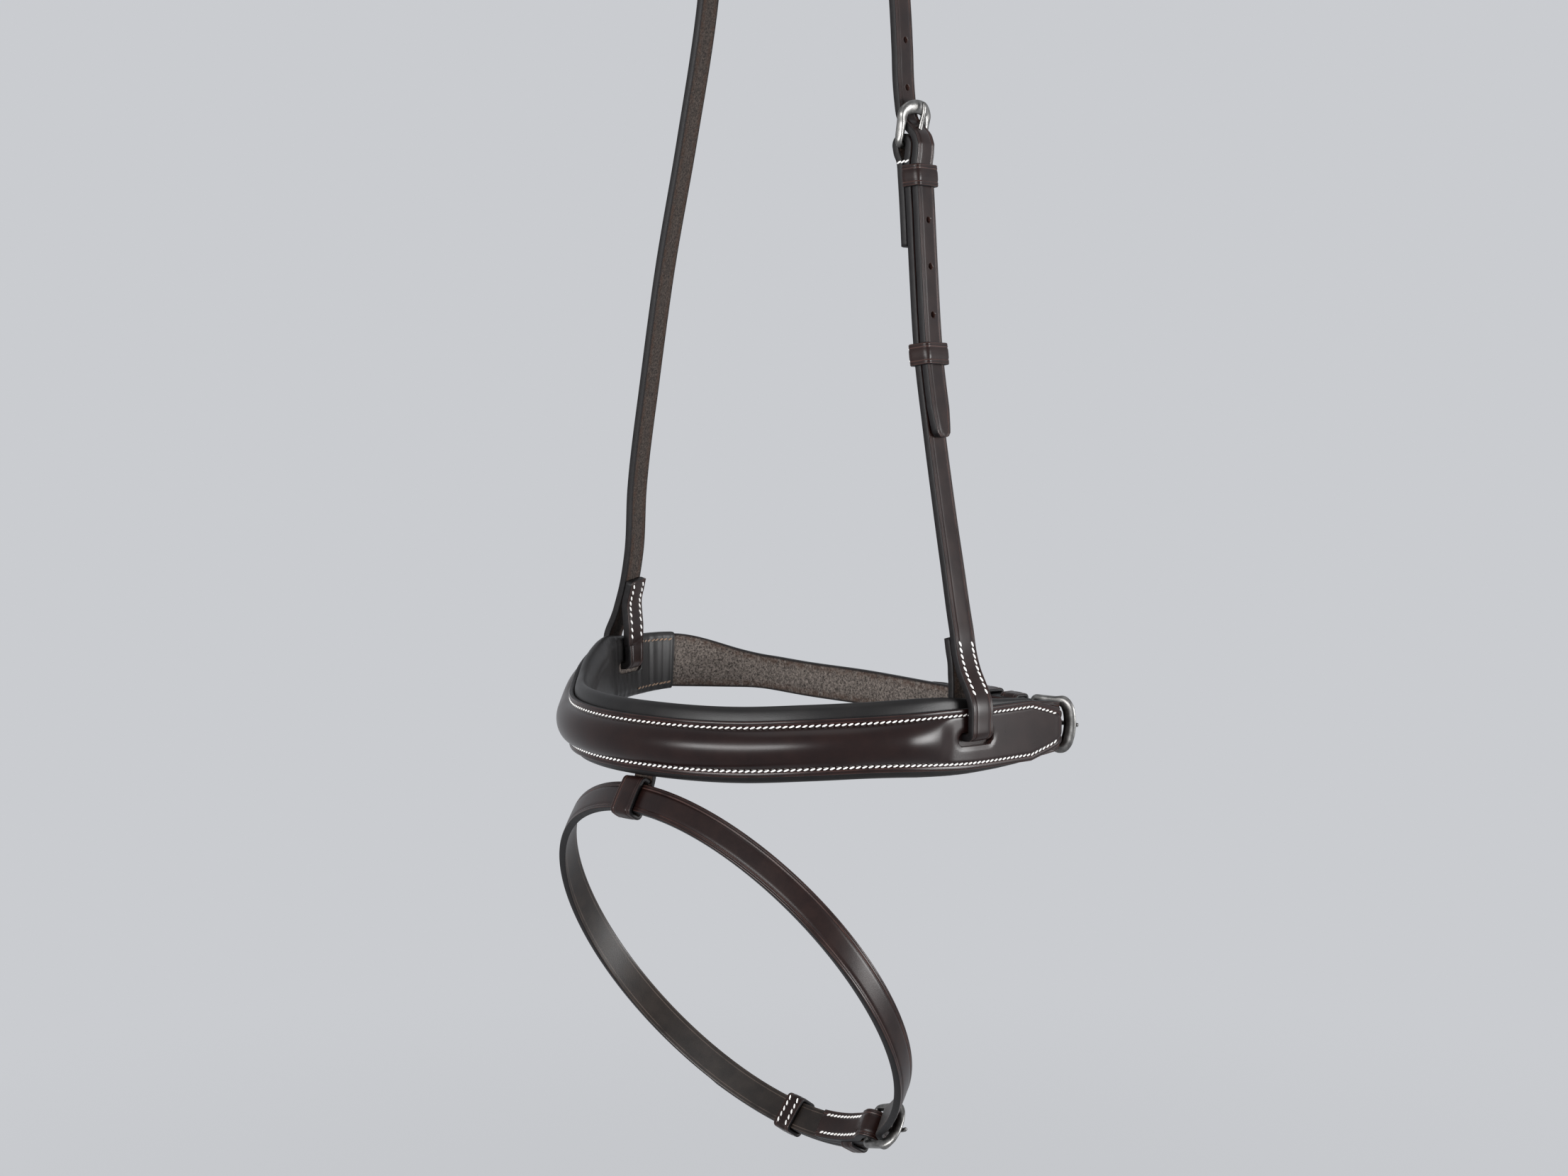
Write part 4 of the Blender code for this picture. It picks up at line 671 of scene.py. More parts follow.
def leather(name, dark, light, gloss, spread, pore_depth, sheen):
    """Satin leather: pores, creases, mottled dye, varied polish; paler edge bands partly painted highlight.
    """
    look = Look(name, Specular_IOR_Level=sheen)
    place = look.place()
    mottle = look.noise(place, MOTTLE, 4.0, 0.6)
    pores = look.cells(place, PORES)
    fine = look.noise(place, FINE_GRAIN, 2.0, 0.6)
    crease = look.noise(look.place((1.0, 1.0, 0.35)), GROWTH_LINES, 3.0, 0.55)
    inset = look.mark("edge")
    worn = inset.between(*WORN)
    # paler bands at the crease shoulders and the rounded corners, in patches: partly wax worn away, partly
    # painted highlight
    burnish_and_highlight_band = inset.between(*BURNISH_AND_HIGHLIGHT_OUTER) * inset.between(*BURNISH_AND_HIGHLIGHT_INNER)
    rub_and_highlight_patches = mottle.between(0.25, 0.6)
    height = pores * 0.6 + fine * 0.7 + crease * 0.8
    colour = look.mix(mottle.between(0.35, 0.7) * 0.6 + worn * 0.4, (*dark, 1.0), (*light, 1.0))
    # the bands take a colour several times paler than the leather: painted highlight over worn wax
    colour = look.mix((burnish_and_highlight_band * 0.55 + inset.between(*RUBBED_AND_HIGHLIGHT_CORNER) * 0.5) * rub_and_highlight_patches, colour,
                      (*[min(1.0, c * 4.5 + 0.012) for c in light], 1.0))
    rough = mottle * spread + fine * (spread * 0.6) + (gloss - spread * 0.8) - worn * 0.06
    return look.feed(Base_Color=colour, Roughness=rough, Normal=look.bump(height, pore_depth))


def painted_edge(name, colour):
    """Edge paint over compressed fibres: dark, smooth and a little uneven."""
    look = Look(name, Specular_IOR_Level=0.24)
    ripple = look.noise(look.place(), PAINT_RIPPLE, 4.0, 0.6)
    shade = look.mix(ripple.between(0.3, 0.8), (*colour, 1.0), tuple(c * 2.0 for c in colour) + (1.0,))
    return look.feed(Base_Color=shade, Roughness=ripple * 0.25 + 0.36,
                     Normal=look.bump(ripple, PAINT_DEPTH))


def flesh_side(name, dark, light):
    """The rough back of the hide, in short fibres of grey and brown."""
    look = Look(name, Specular_IOR_Level=0.22)
    place = look.place()
    fibres = look.noise(place, FIBRES, 5.0, 0.78)
    tufts = look.noise(place, TUFTS, 4.0, 0.65)
    dust = look.cells(place, DUST).between(0.25, 0.75)
    shade = look.mix(fibres.between(0.38, 0.68) * 0.7 + dust * 0.3,
                     (*dark, 1.0), (*light, 1.0))
    rust = look.mark("edge").between(*RUSTY_MARGIN) * tufts.between(0.35, 0.6)
    shade = look.mix(rust * 0.6, shade, RUST_BROWN)
    edge = look.mark("edge").between(*PAINTED_RIM)
    shade = look.mix(edge * 0.9, shade, RIM_BLACK)
    height = fibres + tufts * 0.8
    return look.feed(Base_Color=shade, Roughness=fibres * 0.2 + 0.72,
                     Normal=look.bump(height, NAP_DEPTH))


# %% Thread and steel
PLIES, SOILING, PLY_DEPTH = 260.0, 160.0, 0.00008
CLOUDS, SCRATCHES, SCRATCH_DEPTH = 220.0, 1600.0, 0.00003
STEEL_DULL, STEEL_BRIGHT = (0.115, 0.112, 0.108, 1.0), (0.26, 0.255, 0.247, 1.0)


def thread_look(name, clean, soiled):
    """Waxed linen thread: two plies laid in a twist."""
    look = Look(name, Roughness=0.62, Specular_IOR_Level=0.3, Sheen_Weight=0.25)
    ply = look.node("ShaderNodeTexWave", {
        "Vector": look.place(), "Scale": PLIES, "Distortion": 1.2, "Detail": 1.0},
        {"bands_direction": "DIAGONAL"}, "Fac")
    soil = look.noise(look.place(), SOILING, 3.0)
    shade = look.mix(soil.between(0.5, 0.8) * 0.5, (*clean, 1.0), (*soiled, 1.0))
    return look.feed(Base_Color=shade, Normal=look.bump(ply, PLY_DEPTH))


def steel_look():
    """Stainless steel, cast and tumbled, in cloudy patches of duller and brighter metal with fine
    scratches.
    """
    look = Look("steel", Metallic=1.0)
    place = look.place()
    cloud = look.noise(place, CLOUDS, 4.0, 0.6)
    scratch = look.noise(look.place((3.0, 0.6, 1.0)), SCRATCHES, 3.0, 0.7)
    shade = look.mix(cloud.between(0.3, 0.75), STEEL_DULL, STEEL_BRIGHT)
    rough = cloud * 0.18 + scratch * 0.10 + 0.22
    return look.feed(Base_Color=shade, Roughness=rough,
                     Normal=look.bump(scratch * 0.5 + cloud, SCRATCH_DEPTH))


# %% Mix the finishes
GRAIN = leather("havana_grain", (0.0082, 0.0032, 0.0028), (0.0185, 0.0080, 0.0062),
                gloss=0.34, spread=0.12, pore_depth=0.000009, sheen=0.25)
FACE = leather("havana_face", (0.0080, 0.0029, 0.0026), (0.0135, 0.0052, 0.0042),
               gloss=0.29, spread=0.07, pore_depth=0.000004, sheen=0.26)
EDGE = painted_edge("painted_edge", (0.0042, 0.0036, 0.0039))
# a paler copy of the strap flesh: painted light, for the stronger light that falls on the chin strap's tail
LIT_TAIL_FLESH = flesh_side("tail_flesh_painted_light", (0.0150, 0.0120, 0.0110), (0.215, 0.182, 0.160))
FLESH = flesh_side("strap_flesh", (0.0090, 0.0070, 0.0062), (0.082, 0.064, 0.054))
SEALED = leather("sealed_flesh", (0.0072, 0.0050, 0.0041), (0.0200, 0.0142, 0.0112),
                 gloss=0.42, spread=0.16, pore_depth=0.000020, sheen=0.28)
LINING = leather("lining_grain", (0.0040, 0.0035, 0.0036), (0.0088, 0.0073, 0.0070),
                 gloss=0.44, spread=0.14, pore_depth=0.000030, sheen=0.30)
THREAD = thread_look("white_thread", (0.88, 0.87, 0.85), (0.64, 0.57, 0.50))
TAN_THREAD = thread_look("tan_thread", (0.23, 0.15, 0.10), (0.10, 0.060, 0.040))
STEEL = steel_look()
print(len(bpy.data.materials), "materials")

# %% [markdown]
# ## Surfaces
#
# Each surface is a grid that is laid on rings: one ring across the piece at
# every station along it. The grid's seam is welded and its open ends are closed,
# so that a strap is one closed skin whose every edge is rounded.

# %% Even steps along a route
def even_marks(rows, step=SURFACE_STEP, turn=TURN_STEP):
    """Distances along rows, closer together where the rows turn."""
    rows = np.array(rows, float)
    rows = rows[np.concatenate([[True], np.linalg.norm(np.diff(rows, axis=0), axis=1) > 1e-7])]
    run = lengths(rows)
    way = unit(np.diff(rows, axis=0))
    bend = np.arccos(np.clip((way[1:] * way[:-1]).sum(1), -1.0, 1.0))
    cost = np.diff(run) / step
    cost[:-1] += bend / turn / 2
    cost[1:] += bend / turn / 2
    total = np.concatenate([[0.0], np.cumsum(cost)])
    return rows, run, np.interp(np.linspace(0.0, total[-1], int(total[-1]) + 2), total, run)


# %% Grids laid on rings
NO_EDGE = 0.010


def mesh_of(bm, name):
    """The mesh made from a bmesh, which is freed."""
    mesh = bpy.data.meshes.new(name)
    bm.to_mesh(mesh)
    bm.free()
    return mesh


def in_scene(name, data):
    """A new object in the scene, at the origin."""
    obj = bpy.data.objects.new(name, data)
    bpy.context.scene.collection.objects.link(obj)
    return obj


def new_object(name, mesh, looks, body, nodes=()):
    """A finished piece: its looks, the body it rides and the solids it replaces."""
    obj = in_scene(name, mesh)
    for look in looks:
        mesh.materials.append(look)
    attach(obj, body)
    if nodes:
        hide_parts(*nodes)
    return obj


def step_grid(name, along, around):
    """A flat grid mesh, and each vertex's place in it counted in steps both ways."""
    bm = bmesh.new()
    bmesh.ops.create_grid(bm, x_segments=along, y_segments=around, size=1.0)
    mesh = mesh_of(bm, name)
    flat = np.empty(len(mesh.vertices) * 3)
    mesh.vertices.foreach_get("co", flat)
    share = (flat.reshape(-1, 3) + 1.0) / 2.0
    return mesh, np.rint(share[:, 0] * along).astype(int), np.rint(share[:, 1] * around).astype(int)


def closed_lengths(points):
    return lengths(np.vstack([points, points[:1]]))


def laid_grid(name, rings, columns, edge, closed=False):
    """A grid mesh laid on rings of points, welded along its seam, ends closed.

    columns gives each strip's material, edge each point's distance to the rim.
    The map "run" unrolls the piece in metres, along it and round it.
    """
    count, around = rings.shape[:2]
    mesh, i, j = step_grid(name, count if closed else count - 1, around)
    mesh.vertices.foreach_set("co", rings[i % count, j % around].ravel())
    mesh.attributes.new("edge", "FLOAT", "POINT").data.foreach_set(
        "value", edge[i % count, j % around].astype(np.float32))
    corner = np.empty(len(mesh.loops), int)
    mesh.loops.foreach_get("vertex_index", corner)
    run, girth = closed_lengths(rings.mean(axis=1)), closed_lengths(rings[count // 2])
    uv = np.stack([run[i[corner]], girth[j[corner]]], axis=1)
    mesh.uv_layers.new(name="run").data.foreach_set("uv", uv.astype(np.float32).ravel())
    low = j[corner].reshape(-1, 4).min(axis=1)
    mesh.polygons.foreach_set("material_index", np.array(columns)[low].astype(np.int32))
    return welded(mesh)


def welded(mesh):
    """Merge the seam, close open ends, turn the faces outwards and shade smooth."""
    bm = bmesh.new()
    bm.from_mesh(mesh)
    bmesh.ops.remove_doubles(bm, verts=bm.verts, dist=1e-7)
    open_edges = [e for e in bm.edges if e.is_boundary]
    if open_edges:
        bmesh.ops.holes_fill(bm, edges=open_edges, sides=0)
    bmesh.ops.recalc_face_normals(bm, faces=bm.faces)
    for face in bm.faces:
        face.smooth = True
    bm.to_mesh(mesh)
    bm.free()
    return mesh


# %% [markdown]
# ## A strap's cross-section
#
# The outer face is slightly crowned. A heated tool has pressed a crease line
# along each edge, with a finer one outside it, and the cut corners are rounded
# and painted. A bump could draw these lines, but would leave the outline plain,
# so they are part of the shape. The section is measured inwards from each edge
# and becomes narrower with a shaped tip.

# %% Strap section
TOP_INSETS = [0.0, 0.00006, 0.00018, 0.00036, 0.0006, 0.00084, 0.00098, 0.00112, 0.00126,
              0.00145, 0.0017, 0.0019, 0.00206, 0.0022, 0.00234, 0.0025, 0.0028, 0.0036, 0.0050]
UNDER_INSETS = [0.0, 0.0001, 0.0003, 0.0008, 0.0022, 0.0045]
UNDER_ROUND = 0.0004
FULL_SECTION_HALF = 0.0056
END_BULGE = 0.0003
END_SHRINK_SHARE = 0.8
GRAIN_COLUMN, EDGE_COLUMN, UNDER_COLUMN = 0, 1, 2


def top_height(inset, half, thick, crease):
    """Height of the outer face at a distance in from the edge."""
    away = np.maximum(EDGE_ROUND - inset, 0.0)
    round_off = EDGE_ROUND - np.sqrt(np.maximum(EDGE_ROUND ** 2 - away ** 2, 0.0))
    groove = crease * np.exp(-((inset - CREASE_INSET) / CREASE_WIDTH) ** 2)
    groove += FINE_CREASE_SHARE * crease * np.exp(-((inset - FINE_CREASE_INSET) / FINE_CREASE_WIDTH) ** 2)
    crown = STRAP_CROWN * (1.0 - (1.0 - np.minimum(inset / half, 1.0)) ** 2)
    return thick / 2 - STRAP_CROWN - round_off - groove + crown


def strap_section(half, thick, crease=CREASE_DEPTH):
    """Ring of (across, up, inset) from the left edge over the top and back."""
    fit = min(1.0, half / FULL_SECTION_HALF)
    insets = np.array(TOP_INSETS) * fit
    heights = top_height(insets, half, thick, crease * fit)
    left = np.column_stack([insets - half, heights, insets])
    top = np.vstack([left, [(0.0, top_height(half, half, thick, crease), half)],
                     left[::-1] * (-1.0, 1.0, 1.0)])
    insets = np.array(UNDER_INSETS) * fit
    away = np.maximum(UNDER_ROUND - insets, 0.0)
    heights = -thick / 2 + UNDER_ROUND - np.sqrt(np.maximum(UNDER_ROUND ** 2 - away ** 2, 0.0))
    right = np.column_stack([half - insets, heights, insets])
    under = np.vstack([right, [(0.0, -thick / 2, half)], right[::-1] * (-1.0, 1.0, 1.0)])
    return np.vstack([top, under])


def section_columns():
    """Which finish each strip of the section wears."""
    top, under = 2 * len(TOP_INSETS), 2 * len(UNDER_INSETS)
    columns = [EDGE_COLUMN if k < 3 or k >= top - 3 else GRAIN_COLUMN for k in range(top)]
    columns += [EDGE_COLUMN]
    columns += [EDGE_COLUMN if k < 2 or k >= under - 2 else UNDER_COLUMN for k in range(under)]
    return columns + [EDGE_COLUMN]


POINT_TIP_SHARES = [(0.0, 0.06), (0.03, 0.13), (0.12, 0.24), (0.28, 0.33), (0.45, 0.39),
                    (0.65, 0.44), (0.85, 0.475), (1.2, 0.50)]
SQUARE_TIP_SHARES = [(0.0, 0.27), (0.03, 0.33), (0.08, 0.37), (0.25, 0.41), (0.45, 0.44),
                     (0.95, 0.50)]


def strap_rings(line, rows, half_of, thick, grain):
    """Section rings along (along, out) rows; half_of gives the half width."""
    rows, run, places = even_marks(rows)
    rows = at_marks(rows, run, places)
    middles = np.array([line.place(along, out) for along, out in rows])
    tangents = unit(np.gradient(middles, places, axis=0))
    sides = np.array([line.frame(along)[3] for along, _ in rows])
    sides = unit(sides - (sides * tangents).sum(1)[:, None] * tangents)
    ups = grain * np.cross(tangents, sides)
    rings, edge = [], []
    for middle, side, up, place, (along, _) in zip(middles, sides, ups, places, rows):
        section = strap_section(half_of(place, along), thick)
        rings.append(middle + section[:, :1] * side + section[:, 1:2] * up)
        edge.append(section[:, 2])
    return np.array(rings), np.array(edge)


def rounded_ends(rings, edge):
    """One more, smaller ring at each end, so that the cut end is rounded too."""
    def cap(ring, inner):
        middle = ring.mean(axis=0)
        away = unit(ring.mean(axis=0) - inner.mean(axis=0))
        return middle + (ring - middle) * END_SHRINK_SHARE + away * END_BULGE
    rings = np.concatenate([[cap(rings[0], rings[1])], rings, [cap(rings[-1], rings[-2])]])
    zero = np.zeros_like(edge[:1])
    return rings, np.concatenate([zero, edge, zero])


def strap(name, line, rows, half_of, thick, grain, body, node, back=FLESH):
    """A strap laid on (along, out) rows; grain is the side its good face is on."""
    rings, edge = rounded_ends(*strap_rings(line, rows, half_of, thick, grain))
    mesh = laid_grid(name, rings, section_columns(), edge)
    obj = new_object(name, mesh, (GRAIN, EDGE, back), body, (node,))
    print(name, len(mesh.polygons), "faces")
    return obj


# %% [markdown]
# ## The straps
#
# Five straps make up the noseband: the crown strap over the poll, the cheek
# strap it buckles to, the chin strap's tail and billet, and the flash strap.
# A curve with a bevel would be quicker, but it has no tips that narrow and no
# own material for its edges, so each strap is a grid laid on its sections.

# %% Widths along the straps
NARROW_TO_HEEL = 0.004


def tip_half(place, width, shares):
    return width * read_table(shares, place / width)


def root_half(run):
    """Half width of the chin straps, wide under the face and then narrow."""
    slot = NOSE_RADIUS * NEAR_TURN
    wide = FACE_SLOT_HALF - 2 * LAYER_GAP
    taper = ease(run, slot + SLOT_TO_LINING_END, slot + SLOT_TO_LINING_END + CHIN_TAPER)
    return wide + (CHIN_WIDTH / 2 - wide) * taper


# %% Lay the five straps
def lay_cheek_strap():
    loop = loop_rows(0.0, 1)
    chape = chape_rows(CHEEK_HEEL_REACH, CHEEK_HEEL_SINK, 1, STRAP_THICK,
                       CHEEK_HEEL_REACH - LOOP_BEND, CHEEK_CHAPE)
    return strap("cheek_strap_leather", head, np.vstack([loop[:-1], chape]),
                 lambda place, along: STRAP_WIDTH / 2, STRAP_THICK, 1, "head_strap", "cheek_strap")


def crown_rows():
    far_loop = loop_rows(head.length, -1)[::-1]
    run = head.length - LOOP_BEND - CHEEK_HEEL_REACH
    lead = [(share * run, 0.0) for share in (0.06, 0.2, 0.6, 1.0)]
    top = billet_rows(CHEEK_HEEL_REACH, CHEEK_HEEL_SINK, cheek.front_row, 1, STRAP_THICK,
                      CHEEK_BILLET, lead)
    return np.vstack([top, far_loop[1:]])


def lay_crown_strap():
    return strap("crown_strap_leather", head, crown_rows(),
                 lambda place, along: tip_half(place, STRAP_WIDTH, SQUARE_TIP_SHARES),
                 STRAP_THICK, 1, "head_strap", "crown_strap")


def lay_far_tail():
    lead = marks["full"] - ROOT_START - rear_heel
    rows = chape_rows(rear_heel, chin_sink, -1, CHIN_THICK, lead, REAR_CHAPE)
    rows[:, 1] += chin_centre
    # the tail's flesh side wears the paler flesh copy, which paints light on it
    return strap("far_tail_leather", nose, rows, lambda place, along: float(
        root_half(marks["full"] - along)), CHIN_THICK, -1, "noseband", "far_tail", LIT_TAIL_FLESH)


def near_billet_rows():
    radius = HEEL_WIRE + LAYER_GAP + CHIN_THICK / 2
    front = (rear.front_row[0], rear.front_row[1] - chin_centre)
    lead = [(rear_heel - marks["near_slot"] - SLOT_TO_TIP + 2 * radius, 0.0),
            (rear_heel - marks["near_slot"] - SLOT_TO_LINING_END, 0.0),
            (rear_heel - ROOT_START, 0.0)]
    rows = billet_rows(rear_heel, chin_sink, front, -1, CHIN_THICK, REAR_BILLET, lead)
    rows[:, 1] += chin_centre
    return rows


def lay_near_billet():
    tip_end = CHIN_WIDTH * POINT_TIP_SHARES[-1][0]

    def half(place, along):
        full = root_half(along) if along < rear_heel - NARROW_TO_HEEL else CHIN_WIDTH / 2
        tip = tip_half(place, CHIN_WIDTH, POINT_TIP_SHARES)
        return float(min(full, tip) if place < tip_end else full)
    return strap("near_billet_leather", nose, near_billet_rows(), half, CHIN_THICK, -1,
                 "noseband", "near_billet")


def flash_rows():
    chape = chape_rows(flash_heel, FLASH_HEEL_SINK, -1, STRAP_THICK, flash.length - flash_heel,
                       FLASH_CHAPE)
    chape[:, 0] -= flash.length
    lead = [(flash_heel * share, 0.0) for share in (0.3, 0.6, 1.0)]
    billet = billet_rows(flash_heel, FLASH_HEEL_SINK, thin.front_row, -1, STRAP_THICK,
                         FLASH_BILLET, lead)
    return np.vstack([billet[:-1], chape])


def lay_flash_strap():
    return strap("flash_strap_leather", flash, flash_rows(),
                 lambda place, along: tip_half(place, STRAP_WIDTH, POINT_TIP_SHARES),
                 STRAP_THICK, -1, "flash", "flash_strap", SEALED)


lay_cheek_strap()
crown_piece = lay_crown_strap()
lay_far_tail()
lay_near_billet()
lay_flash_strap()

# %% [markdown]
# ## Punched holes
#
# The crown strap's billet is punched about every 20 mm with a round drive punch.
# Each hole that shows is a cylinder cut out of that strap alone, so the layer
# behind shows in it. The one that the tongue passes is hidden and stays uncut.

# %% Punch the crown strap
HOLE_LEVELS = [-0.1608, -0.1807, -0.2200, -0.2374, -0.2571, -0.2776]
PUNCH_LENGTH = 0.018


def on_axes(point, *axes):
    """The matrix that puts a shape's x, y and z on three directions at a point."""
    matrix = Matrix(np.column_stack(axes).tolist()).to_4x4()
    matrix.translation = Vector(point)
    return matrix


def hole_cutter(line, along, radius):
    point, tangent, outward, _ = line.frame(along)
    bm = bmesh.new()
    bmesh.ops.create_cone(bm, cap_ends=True, segments=24, radius1=radius, radius2=radius,
                          depth=PUNCH_LENGTH)
    bm.transform(on_axes(point, tangent, np.cross(outward, tangent), outward))
    return bm


def cut(obj, *cutters):
    """Cut the bmesh cutters out of a piece and keep only its own mesh."""
    made = []
    for k, bm in enumerate(cutters):
        name = f"{obj.name}_cutter_{k}"
        cutter = in_scene(name, mesh_of(bm, name))
        made.append(cutter)
        modifier = obj.modifiers.new("cut", "BOOLEAN")
        modifier.operation, modifier.solver, modifier.object = "DIFFERENCE", "EXACT", cutter
    bpy.context.view_layer.update()
    done = bpy.data.meshes.new_from_object(obj.evaluated_get(bpy.context.evaluated_depsgraph_get()))
    obj.modifiers.clear()
    obj.data = done
    for cutter in made:
        bpy.data.objects.remove(cutter, do_unlink=True)
    return obj


near_half = np.linspace(0.0, head.length / 2, 1200)
near_levels = np.array([head.place(along)[2] for along in near_half])
holes = np.interp(HOLE_LEVELS, near_levels, near_half)
cut(crown_piece, *[hole_cutter(head, along, HOLE_RADIUS) for along in holes])
print(len(holes), "holes, mm along:", np.round(holes * 1000).astype(int))

# %% [markdown]
# ## The raised nose
#
# One piece of leather is moulded over a round core and sewn down along both
# sides, which gives the long raised roll between two seams. It runs out flat
# before the slots. A formula gives the height of the face at each place, so the
# roll, the seams that draw it down and the rims of the slots are one surface.

# %% The shape of the face
FACE_COLUMNS = 27
FACE_EDGE_ROUND = 0.0008
FACE_END_ROUND = 0.0006
BACK_ROUND = 0.0004
END_INSETS = [0.0001, 0.0003, 0.0006]
RIM_DEPTH, RIM_WIDTH = 0.00045, 0.0009
FACE_STEP = 0.0011
MARGIN_INSETS = [0.0, 0.0001, 0.0003, 0.0006, 0.0010, 0.0014, 0.0018, 0.0021, 0.0024, 0.0027,
                 0.0030, 0.0033, 0.0037]


def face_half(run):
    slot = NOSE_RADIUS * NEAR_TURN
    half = FACE_NOSE_HALF + (FACE_SLOT_HALF - FACE_NOSE_HALF) * float(ease(run, FACE_WIDENS_AT, slot))
    tip_start = slot + SLOT_TO_LINING_END
    share = min(1.0, max(0.0, (run - tip_start) / (SLOT_TO_TIP - SLOT_TO_LINING_END)))
    return half - (half - FACE_TIP_HALF) * (0.75 * share + 0.25 * share ** 6)


def slot_distance(run, height):
    """Distance outside a slot's outline, at a run from the nose and a height."""
    straight = (SLOT_LENGTH - SLOT_HEIGHT) / 2
    beyond = max(0.0, abs(run - NOSE_RADIUS * NEAR_TURN) - straight)
    return math.hypot(beyond, height) - SLOT_HEIGHT / 2


def face_front(run, height, half):
    """How far the face stands out: roll, seam, margin, rim and rounded edge."""
    left = min(1.0, max(0.0, (ROLL_END - run) / ROLL_TAPER))
    rise = ROLL_RISE * (1.0 - (1.0 - left) ** 1.6) * float(ease(left, -0.2, 0.35))
    flat = half - SEAM_INSET - ROLL_SEAM_GAP / 2
    share = min(1.0, abs(height) / flat)
    out = FACE_THICK + rise * math.sqrt(max(0.0, 1.0 - share ** 2)) ** 1.15
    inset = half - abs(height)
    out -= SEAM_DEPTH * math.exp(-((inset - SEAM_INSET) / SEAM_WIDTH) ** 2)
    away = max(0.0, FACE_EDGE_ROUND - inset)
    out -= FACE_EDGE_ROUND - math.sqrt(max(0.0, FACE_EDGE_ROUND ** 2 - away ** 2))
    rim = max(slot_distance(run, height), 0.0)
    return out - RIM_DEPTH * math.exp(-(rim / RIM_WIDTH) ** 2)


def face_ring(run, half):
    """Ring of (out, height, inset) round the face leather at a station."""
    margin = np.array(MARGIN_INSETS)
    inner = half - margin[-1]
    middle = inner * np.sin(np.linspace(-math.pi / 2, math.pi / 2, FACE_COLUMNS))[1:-1]
    heights = np.concatenate([-half + margin, middle, half - margin[::-1]])
    front = [(face_front(run, h, half), h, half - abs(h)) for h in heights]
    low, out = half - BACK_ROUND, half - BACK_ROUND / 4
    back = [(BACK_ROUND / 2, out, 0.0), (0.0, low, 0.0), (0.0, 0.0, half),
            (0.0, -low, 0.0), (BACK_ROUND / 2, -out, 0.0)]
    return np.array(front + back)


def band_stations(end, step=FACE_STEP):
    """Distances from the nose centre to both ends, closer towards the ends."""
    even = np.linspace(-end, end, int(2 * end / step))
    extra = end - np.array(END_INSETS)
    return np.unique(np.concatenate([even, extra, -extra]))


def face_rings():
    end = NOSE_RADIUS * NEAR_TURN + SLOT_TO_TIP
    rings, edge = [], []
    for run in band_stations(end):
        away = max(0.0, FACE_END_ROUND - (end - abs(run)))
        shrink = FACE_END_ROUND - math.sqrt(max(0.0, FACE_END_ROUND ** 2 - away ** 2))
        half = face_half(abs(run)) - shrink
        ring = face_ring(abs(run), half)
        out = FACE_THICK / 2 + (ring[:, 0] - FACE_THICK / 2) * (1.0 - shrink / (2 * FACE_END_ROUND))
        rings.append([nose.place(run, o, h) for o, h in zip(out, ring[:, 1])])
        edge.append(np.minimum(ring[:, 2], end - abs(run)))
    return np.array(rings), np.array(edge)


# %% Lay the face leather and cut its slots
def slot_cutter(mark):
    """A level slot with round ends, long enough to pass all layers."""
    point, tangent, outward, _ = nose.frame(mark)
    level = unit(tangent * np.array([1.0, 1.0, 0.0]))
    bm = bmesh.new()
    bmesh.ops.create_cone(bm, cap_ends=True, segments=48, radius1=SLOT_HEIGHT / 2,
                          radius2=SLOT_HEIGHT / 2, depth=PAD_DEPTH * 3)
    for vert in bm.verts:
        vert.co.x += math.copysign((SLOT_LENGTH - SLOT_HEIGHT) / 2, round(vert.co.x, 6))
    bm.transform(on_axes(point, level, np.cross(outward, level), outward))
    return bm


def face_columns():
    front = 2 * len(MARGIN_INSETS) + FACE_COLUMNS - 3
    rim = [EDGE_COLUMN] * 2
    return rim + [GRAIN_COLUMN] * (front - 4) + rim + rim + [UNDER_COLUMN] * 2 + rim


rings, edge = face_rings()
face_piece = new_object("nose_face_leather", laid_grid("nose_face_leather", rings, face_columns(), edge),
                        (FACE, EDGE, FLESH), "noseband", ("nose_face", "nose_roll"))
cut(face_piece, slot_cutter(marks["near_slot"]), slot_cutter(marks["far_slot"]))
print("face leather", len(face_piece.data.polygons), "faces")

# %% [markdown]
# ## The padded lining
#
# Thin soft leather is wrapped round foam and turned in under the face, so a
# puffy roll shows above and below it. Towards the slots it becomes flat, and
# there the leather gathers in fine puckers. It is firm and tightly sewn, so its
# outline is laid directly, where a cloth simulation would only slump.

# %% The pad
PAD_TOP_NEAR = [(0.130, 0.0054), (0.142, 0.0050), (0.160, 0.0034), (0.180, 0.0017), (0.1945, 0.0009)]
PAD_TOP_FAR = [(0.128, 0.0054), (0.140, 0.0044), (0.152, 0.0022), (0.166, 0.0005), (0.1945, 0.0003)]
PAD_BOTTOM = [(0.130, 0.0029), (0.150, 0.0023), (0.176, 0.0016), (0.188, 0.0009), (0.1945, 0.0002)]
PAD_SHALLOWS = 0.122, 0.147
PUCKER_DEPTH, PUCKER_TURNS, PUCKER_DRIFT = 0.00022, 1900.0, 610.0
PAD_TURN_IN, PAD_RIM_INSET = 0.0030, 0.0004
PAD_BULGE_SHARES = [(0.04, 0.30), (0.17, 0.80), (0.36, 1.0), (0.58, 0.86), (0.78, 0.42)]
PAD_STEP = 0.0012
PAD_END_ROUND = 0.0006
PAD_END_SHRINK_SHARE = 0.12


